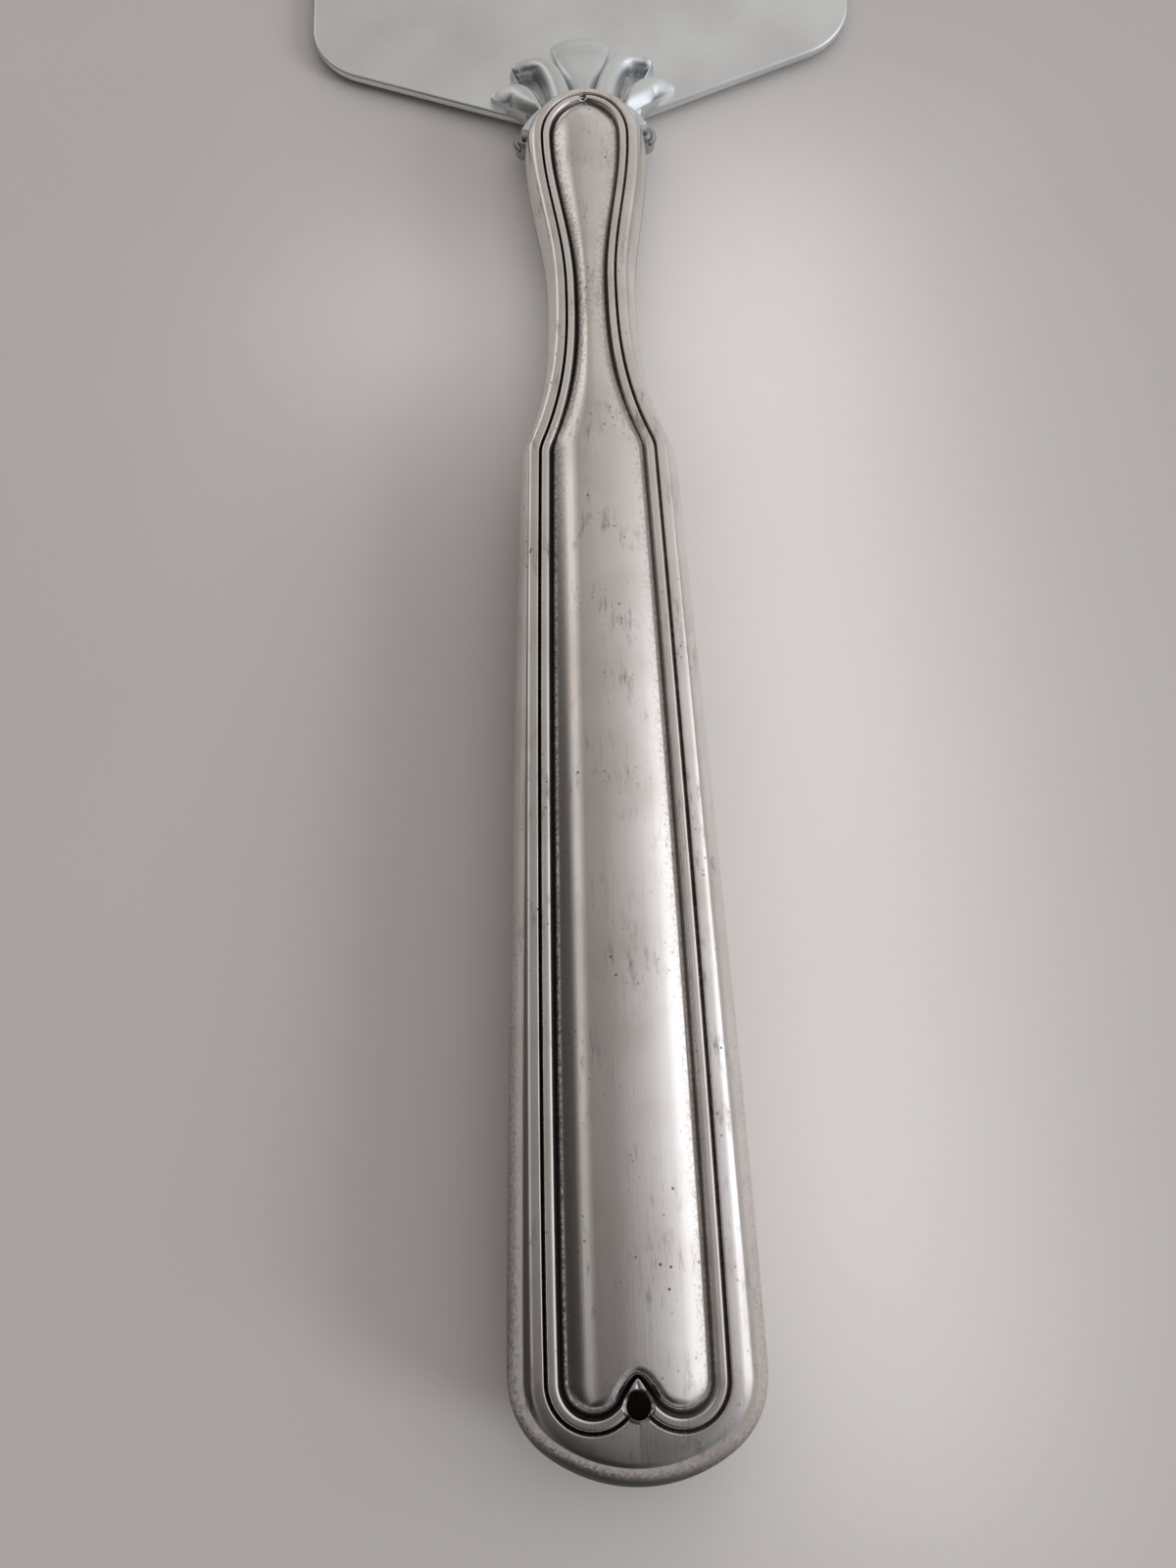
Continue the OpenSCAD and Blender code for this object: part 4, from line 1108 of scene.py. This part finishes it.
def add_node(tree, kind, output, inputs=None, **settings):
    """Adds one node, sets it up, fills or links its inputs and hands back one of its outputs."""
    node = tree.nodes.new("ShaderNode" + kind)
    for key, value in settings.items():
        setattr(node, key, value)
    for socket, value in (inputs or {}).items():
        if isinstance(value, bpy.types.NodeSocket):
            tree.links.new(value, node.inputs[socket])
        else:
            node.inputs[socket].default_value = value
    return node.outputs[output]


def new_material(name, **values):
    """A material whose shader has these values, with its node tree and the object's coordinates."""
    material = bpy.data.materials.new(name)
    material.use_nodes = True
    tree = material.node_tree
    for socket, value in values.items():
        tree.nodes["Principled BSDF"].inputs[socket].default_value = value
    return material, tree, add_node(tree, "TexCoord", "Object")


def link_shader(material, links):
    """Links the inputs of a material's shader and hands the material back."""
    tree = material.node_tree
    for socket, source in links.items():
        tree.links.new(source, tree.nodes["Principled BSDF"].inputs[socket])
    return material


def per_mm(size):
    """Texture scale, in cells per metre, for a pattern of a size in millimetres."""
    return 1 / (size * MM)


def struck_silver(colours):
    """Polished old silver, struck in a die and worn: a soft mirror with sulphide left in its grooves."""
    material, tree, place = new_material("struck_silver_polished", Metallic=1.0)
    # The tarnish attribute holds real tarnish, and painted shade on the side walls and in the hollow and the
    # vent
    dirt = add_node(tree, "Attribute", "Fac", attribute_name="tarnish")
    # Cloudy wear, 7 mm across, and hairline scratches drawn 0.15 mm wide so that they show
    cloud = add_node(tree, "TexNoise", "Fac", {"Vector": place, "Scale": per_mm(7), "Detail": 4.0})
    grain = add_node(tree, "Mapping", "Vector", {"Vector": place, "Rotation": (0, 0, 0.35),
                                                 "Scale": (per_mm(0.15), per_mm(5), per_mm(0.4))})
    hair = add_node(tree, "TexNoise", "Fac", {"Vector": grain, "Scale": 1.0, "Detail": 3.0})
    # Pits and dark specks, about one in each 0.9 mm, thinned out by a slower noise
    cells = add_node(tree, "TexVoronoi", "Distance", {"Vector": place, "Scale": per_mm(0.9)})
    dots = add_node(tree, "MapRange", "Result", {"Value": cells, "From Min": 0.06, "From Max": 0.16,
                                                 "To Min": 1.0, "To Max": 0.0})
    where = add_node(tree, "TexNoise", "Fac", {"Vector": place, "Scale": per_mm(5), "Detail": 3.0})
    few = add_node(tree, "MapRange", "Result", {"Value": where, "From Min": 0.46, "From Max": 0.66})
    specks = add_node(tree, "Math", "Value", {0: dots, 1: few}, operation="MULTIPLY")
    # Sulphide fills the grooves, and is broken up by 0.3 mm grit where it thins out
    grit = add_node(tree, "TexNoise", "Fac", {"Vector": place, "Scale": per_mm(0.3), "Detail": 5.0,
                                              "Roughness": 0.65})
    shake = add_node(tree, "MapRange", "Result", {"Value": grit, "From Min": 0.35, "From Max": 0.65,
                                                  "To Min": -0.6, "To Max": 0.6})
    clear = add_node(tree, "Math", "Value", {0: 1.0, 1: dirt}, operation="SUBTRACT")
    part = add_node(tree, "Math", "Value", {0: dirt, 1: clear}, operation="MULTIPLY")
    # Painted shade: the tarnish, real in the grooves, is made darker towards the left side and lighter
    # towards the right, following the light
    across = add_node(tree, "SeparateXYZ", "X", {"Vector": place})
    left_side_shade = add_node(tree, "MapRange", "Result", {"Value": across, "From Min": -5 * MM,
                                                   "From Max": 5 * MM, "To Min": 1.0, "To Max": 0.68})
    left = add_node(tree, "Math", "Value", {0: dirt, 1: left_side_shade}, operation="MULTIPLY")
    groove = add_node(tree, "Math", "Value", {0: shake, 1: part, 2: left}, operation="MULTIPLY_ADD")
    deep = add_node(tree, "MapRange", "Result", {"Value": groove, "From Min": 0.25, "From Max": 0.95},
                    interpolation_type="SMOOTHSTEP")
    # Thin grey smudges along the handle, 0.5 by 2.5 mm, in a few places
    along = add_node(tree, "Mapping", "Vector", {"Vector": place,
                                                 "Scale": (per_mm(0.5), per_mm(2.5), per_mm(1.0))})
    streak = add_node(tree, "TexNoise", "Fac", {"Vector": along, "Scale": 1.0, "Detail": 4.0,
                                                "Roughness": 0.7})
    smudge = add_node(tree, "MapRange", "Result", {"Value": streak, "From Min": 0.52, "From Max": 0.7,
                                                   "To Max": 0.6})
    scuffs = add_node(tree, "Math", "Value", {0: smudge, 1: few}, operation="MULTIPLY")
    marks = add_node(tree, "Math", "Value", {0: scuffs, 1: specks}, operation="MAXIMUM")
    dark = add_node(tree, "Math", "Value", {0: deep, 1: marks}, operation="MAXIMUM")
    film = add_node(tree, "MapRange", "Result", {"Value": cloud, "From Min": 0.45, "From Max": 0.75,
                                                 "To Max": 0.3})
    worn = add_node(tree, "Mix", "Result", {"Factor": film, "A": colours.silver, "B": colours.bloom},
                    data_type="RGBA")
    base = add_node(tree, "Mix", "Result", {"Factor": dark, "A": worn, "B": colours.tarnish},
                    data_type="RGBA")
    wear = add_node(tree, "MapRange", "Result", {"Value": cloud, "From Min": 0.3, "From Max": 0.75,
                                                 "To Min": 0.07, "To Max": 0.19})
    rough = add_node(tree, "Mix", "Result", {"Factor": dark, "A": wear, "B": 0.5})
    hollows = add_node(tree, "Math", "Value", {0: specks, 1: -0.6}, operation="MULTIPLY")
    relief = add_node(tree, "Math", "Value", {0: hair, 1: hollows}, operation="ADD")
    bump = add_node(tree, "Bump", "Normal", {"Height": relief, "Strength": 0.25, "Distance": 0.012 * MM})
    return link_shader(material, {"Base Color": base, "Roughness": rough, "Normal": bump})


def cast_silver(colours):
    """Cast and chased silver: bright on the crests, dark and matt in the hollows between the petals."""
    material, tree, place = new_material("cast_silver_chased", Metallic=1.0)
    dirt = add_node(tree, "Attribute", "Fac", attribute_name="tarnish")
    # Tarnish in uneven patches, 2.5 mm across
    cloud = add_node(tree, "TexNoise", "Fac", {"Vector": place, "Scale": per_mm(2.5), "Detail": 4.0})
    uneven = add_node(tree, "MapRange", "Result", {"Value": cloud, "From Min": 0.3, "From Max": 0.7,
                                                   "To Min": 0.55, "To Max": 1.0})
    dark = add_node(tree, "Math", "Value", {0: dirt, 1: uneven}, operation="MULTIPLY")
    dull = add_node(tree, "MapRange", "Result", {"Value": dark, "To Min": 0.14, "To Max": 0.85})
    base = add_node(tree, "Mix", "Result", {"Factor": dull, "A": colours.pale_silver, "B": colours.tarnish},
                    data_type="RGBA")
    rough = add_node(tree, "MapRange", "Result", {"Value": dark, "To Min": 0.34, "To Max": 0.5})
    # Sand skin of the casting, drawn 0.25 mm across so that it shows
    skin = add_node(tree, "TexNoise", "Fac", {"Vector": place, "Scale": per_mm(0.25), "Detail": 2.0})
    bump = add_node(tree, "Bump", "Normal", {"Height": skin, "Strength": 0.3, "Distance": 0.015 * MM})
    return link_shader(material, {"Base Color": base, "Roughness": rough, "Normal": bump})


def rolled_silver(colours):
    """Rolled silver sheet, satin from years of use: broad soft reflections and crossing hairlines."""
    material, tree, place = new_material("rolled_silver_satin", Metallic=1.0)
    # A thin film in clouds, 14 mm across
    cloud = add_node(tree, "TexNoise", "Fac", {"Vector": place, "Scale": per_mm(14), "Detail": 5.0})
    film = add_node(tree, "MapRange", "Result", {"Value": cloud, "From Min": 0.4, "From Max": 0.8,
                                                 "To Max": 0.35})
    base = add_node(tree, "Mix", "Result", {"Factor": film, "A": colours.pale_silver, "B": colours.bloom},
                    data_type="RGBA")
    rough = add_node(tree, "MapRange", "Result", {"Value": cloud, "From Min": 0.3, "From Max": 0.7,
                                                  "To Min": 0.3, "To Max": 0.42})
    # Hairlines along and across the blade, drawn 0.2 mm wide so that they show
    hairs = []
    for turn in (0.5, -0.9):
        grain = add_node(tree, "Mapping", "Vector", {"Vector": place, "Rotation": (0, 0, turn),
                                                     "Scale": (per_mm(0.2), per_mm(9), 1.0)})
        hairs.append(add_node(tree, "TexNoise", "Fac", {"Vector": grain, "Scale": 1.0, "Detail": 3.0}))
    relief = add_node(tree, "Math", "Value", dict(enumerate(hairs)), operation="ADD")
    bump = add_node(tree, "Bump", "Normal", {"Height": relief, "Strength": 0.2, "Distance": 0.01 * MM})
    return link_shader(material, {"Base Color": base, "Roughness": rough, "Normal": bump})


def silver_solder(colours):
    """Silver solder filed flush: a dull grey line that tarnishes sooner than the sheet, in 1.5 mm patches."""
    material, tree, place = new_material("silver_solder_filed", Metallic=1.0)
    cloud = add_node(tree, "TexNoise", "Fac", {"Vector": place, "Scale": per_mm(1.5), "Detail": 3.0})
    base = add_node(tree, "Mix", "Result", {"Factor": cloud, "A": colours.solder, "B": colours.tarnish},
                    data_type="RGBA")
    rough = add_node(tree, "MapRange", "Result", {"Value": cloud, "To Min": 0.3, "To Max": 0.5})
    return link_shader(material, {"Base Color": base, "Roughness": rough})


def drawn_steel(colours):
    """Plain drawn steel: grey with fine lines along its length, drawn 0.3 mm wide so that they show."""
    material, tree, place = new_material("drawn_steel_plain", Metallic=1.0)
    grain = add_node(tree, "Mapping", "Vector", {"Vector": place,
                                                 "Scale": (per_mm(0.3), per_mm(8), per_mm(0.3))})
    lines = add_node(tree, "TexNoise", "Fac", {"Vector": grain, "Scale": 1.0, "Detail": 2.0})
    base = add_node(tree, "Mix", "Result", {"Factor": lines, "A": colours.steel, "B": colours.tarnish},
                    data_type="RGBA")
    rough = add_node(tree, "MapRange", "Result", {"Value": lines, "To Min": 0.3, "To Max": 0.5})
    return link_shader(material, {"Base Color": base, "Roughness": rough})


def filling_cement(colours):
    """Brown filling cement of resin and brick dust: matt, with grit 0.8 mm across."""
    material, tree, place = new_material("filling_cement_matt", Roughness=0.85)
    grit = add_node(tree, "TexNoise", "Fac", {"Vector": place, "Scale": per_mm(0.8), "Detail": 4.0})
    base = add_node(tree, "Mix", "Result", {"Factor": grit, "A": colours.cement, "B": colours.tarnish},
                    data_type="RGBA")
    bump = add_node(tree, "Bump", "Normal", {"Height": grit, "Strength": 0.6, "Distance": 0.1 * MM})
    return link_shader(material, {"Base Color": base, "Normal": bump})


def table_top(look):
    """Pale painted table: matt, with faint clouds 30 mm across and a grain of 0.9 mm."""
    material, tree, place = new_material("table_top_matt", Roughness=0.6)
    cloud = add_node(tree, "TexNoise", "Fac", {"Vector": place, "Scale": per_mm(30), "Detail": 4.0})
    shade = add_node(tree, "MapRange", "Result", {"Value": cloud, "To Min": 0.97, "To Max": 1.03})
    base = add_node(tree, "HueSaturation", "Color", {"Color": look.floor, "Value": shade})
    grain = add_node(tree, "TexNoise", "Fac", {"Vector": place, "Scale": per_mm(0.9), "Detail": 3.0})
    bump = add_node(tree, "Bump", "Normal", {"Height": grain, "Strength": 0.15, "Distance": 0.1 * MM})
    return link_shader(material, {"Base Color": base, "Normal": bump})


# Name, tint, length and width in metres, power in watts, place and aim of each lamp
LAMPS = (
    ("window", "F7F9FF", 0.5, 0.5, 15.0, (1.5, -0.75, 0.65), (0, 0, 0)),
    ("overhead", "FFF7F1", 2.0, 2.0, 5.6, (0.1, 0.1, 1.0), (0, 0, 0)),
    ("right_glow", "FFFFFF", 0.13, 0.012, 0.011, (0.02, -0.075, 0.022), (0.018, -0.075, 0)),
    ("left_glow", "FFFFFF", 0.03, 0.008, 0.002, (-0.01, -0.028, 0.02), (-0.01, -0.028, 0)),
)
# The room and its window: a tint, then the brightness across from the left (-1) to the right (1), and along
# from behind to ahead
ROOM = (
    ("FFFAF7",
     ((-1, 0.08), (-0.86, 0.12), (-0.78, 0.35), (-0.7, 0.66), (-0.58, 0.68), (-0.46, 0.45),
      (-0.35, 0.31), (-0.1, 0.35), (0, 0.4), (0.3, 0.4), (1, 0.45)),
     ((-1, 0.06), (-0.6, 0.11), (-0.3, 0.22), (-0.12, 0.33), (0, 0.46), (0.2, 0.57), (0.37, 0.65),
      (0.5, 0.75), (0.65, 0.8), (1, 1.0))),
    ("F4F7FF",
     ((-1, 0.0), (-0.08, 0.0), (0, 0.05), (0.08, 0.12), (0.17, 0.22), (0.4, 0.34), (0.7, 0.45),
      (0.92, 0.72), (1, 0.72)),
     ((-1, 0.3), (-0.4, 0.8), (-0.1, 1.0), (0, 1.0), (0.2, 0.97), (0.37, 0.75), (0.49, 0.4),
      (0.63, 0.15), (1, 0.1))),
)
ROOM_STRENGTH = 1.6
# Half the floor's width in metres, and the long side of the camera's film in millimetres
FLOOR_HALF = 2.0
FILM_W = 36.0


class SERVER_OT_stage(bpy.types.Operator):
    """Lays the floor and sets the light and the camera"""

    bl_idname = "cake_server.stage"
    bl_label = "Stage"

    def execute(self, context):
        scene = context.scene
        look = scene.server_stage
        add_floor(look)
        add_light(scene)
        add_surroundings(scene)
        add_camera(scene, look)
        return {"FINISHED"}


def add_floor(look):
    """A pale floor all round the server."""
    bm = bmesh.new()
    bmesh.ops.create_grid(bm, x_segments=1, y_segments=1, size=FLOOR_HALF)
    floor = new_object(bm, "floor")
    floor.data.materials.append(table_top(look))


def add_light(scene):
    """A soft window light, a broad one overhead that keeps the shadows pale, and two glows by the handle."""
    for name, colour, length, width, energy, location, aim in LAMPS:
        lamp = bpy.data.lights.new(name, "AREA")
        lamp.shape = "RECTANGLE"
        lamp.size, lamp.size_y = length, width
        lamp.energy = energy
        lamp.color = linear(colour)[:3]
        light = bpy.data.objects.new(name, lamp)
        light.location = location
        light.visible_glossy = False
        light.visible_camera = False
        light.rotation_euler = (Vector(aim) - light.location).to_track_quat("-Z", "Y").to_euler()
        scene.collection.objects.link(light)


def add_surroundings(scene):
    """A dim room, light ahead and dark on the left and behind the viewer, with a window on the right."""
    world = bpy.data.worlds.new("room")
    scene.world = world
    world.use_nodes = True
    tree = world.node_tree
    way = add_node(tree, "TexCoord", "Generated")
    parts = []
    for colour, across, along in ROOM:
        shades = []
        for axis, light, stops in (("X", linear(colour), across), ("Y", linear("FFFFFF"), along)):
            level = add_node(tree, "SeparateXYZ", axis, {"Vector": way})
            place = add_node(tree, "MapRange", "Result", {"Value": level, "From Min": -1.0, "From Max": 1.0})
            shade = add_node(tree, "ValToRGB", "Color", {"Fac": place})
            ramp = shade.node.color_ramp
            for position, _ in stops[1:-1]:
                ramp.elements.new((position + 1) / 2)
            for element, (_, value) in zip(ramp.elements, stops):
                element.color = [value * c for c in light[:3]] + [1.0]
            shades.append(shade)
        parts.append(add_node(tree, "Mix", "Result", {"Factor": 1.0, "A": shades[0], "B": shades[1]},
                              data_type="RGBA", blend_type="MULTIPLY"))
    both = add_node(tree, "Mix", "Result", {"Factor": 1.0, "A": parts[0], "B": parts[1]},
                    data_type="RGBA", blend_type="ADD")
    background = tree.nodes["Background"]
    background.inputs["Strength"].default_value = ROOM_STRENGTH
    tree.links.new(both, background.inputs["Color"])


def add_camera(scene, look):
    """The camera at the photograph's place, given from the butt of the handle."""
    pitch, yaw, roll = look.eye_pitch, look.eye_yaw, look.eye_roll
    ahead = Vector((math.sin(yaw) * math.cos(pitch), math.cos(yaw) * math.cos(pitch), -math.sin(pitch)))
    level = Vector((math.cos(yaw), -math.sin(yaw), 0))
    rise = level.cross(ahead)
    right = level * math.cos(roll) + rise * math.sin(roll)
    up = rise * math.cos(roll) - level * math.sin(roll)
    laid = ServerForm(scene).laid
    eye = Vector((look.eye_x, look.eye_y, look.eye_z)) / MM
    turn = laid.to_3x3().normalized() @ Matrix((right, up, -ahead)).transposed()
    camera = bpy.data.objects.new("camera", bpy.data.cameras.new("camera"))
    camera.matrix_world = Matrix.Translation(laid @ eye) @ turn.to_4x4()
    camera.data.lens = look.lens
    camera.data.sensor_width = FILM_W
    camera.data.clip_start = MM
    scene.collection.objects.link(camera)
    scene.camera = camera
    scene.view_settings.view_transform = "Standard"


PROPERTY_GROUPS = {
    "server_handle": HandleSizes,
    "server_thread": ThreadSizes,
    "server_blade": BladeSizes,
    "server_shell": ShellSizes,
    "server_colours": SilverColours,
    "server_stage": StageLook,
}
OPERATORS = (
    SERVER_OT_stage,
    SERVER_OT_handle_halves,
    SERVER_OT_solder_seam,
    SERVER_OT_shell,
    SERVER_OT_blade,
    SERVER_OT_hidden_pieces,
)


class SERVER_PT_panel(bpy.types.Panel):
    """Lists the pieces of the cake server and their sizes"""

    bl_label = "Cake Server"
    bl_idname = "SERVER_PT_panel"
    bl_space_type = "VIEW_3D"
    bl_region_type = "UI"
    bl_category = "Cake Server"

    def draw(self, context):
        for operator in OPERATORS:
            self.layout.operator(operator.bl_idname)
        for group, kind in PROPERTY_GROUPS.items():
            column = self.layout.column(heading=kind.__doc__)
            for key in kind.__annotations__:
                column.prop(getattr(context.scene, group), key)


def register():
    """Registers the classes and gives the scene their properties."""
    for kind in (*PROPERTY_GROUPS.values(), *OPERATORS, SERVER_PT_panel):
        bpy.utils.register_class(kind)
    for group, kind in PROPERTY_GROUPS.items():
        setattr(bpy.types.Scene, group, PointerProperty(type=kind))


def unregister():
    """Takes back what register did."""
    for group in PROPERTY_GROUPS:
        delattr(bpy.types.Scene, group)
    for kind in (SERVER_PT_panel, *reversed(OPERATORS), *PROPERTY_GROUPS.values()):
        bpy.utils.unregister_class(kind)


def main():
    """Builds the server piece by piece and writes its size beside the CAD model's."""
    register()
    bpy.ops.cake_server.stage()
    bpy.ops.cake_server.handle_halves()
    bpy.ops.cake_server.solder_seam()
    bpy.ops.cake_server.shell()
    bpy.ops.cake_server.blade()
    bpy.ops.cake_server.hidden_pieces()


if __name__ == "__main__":
    main()
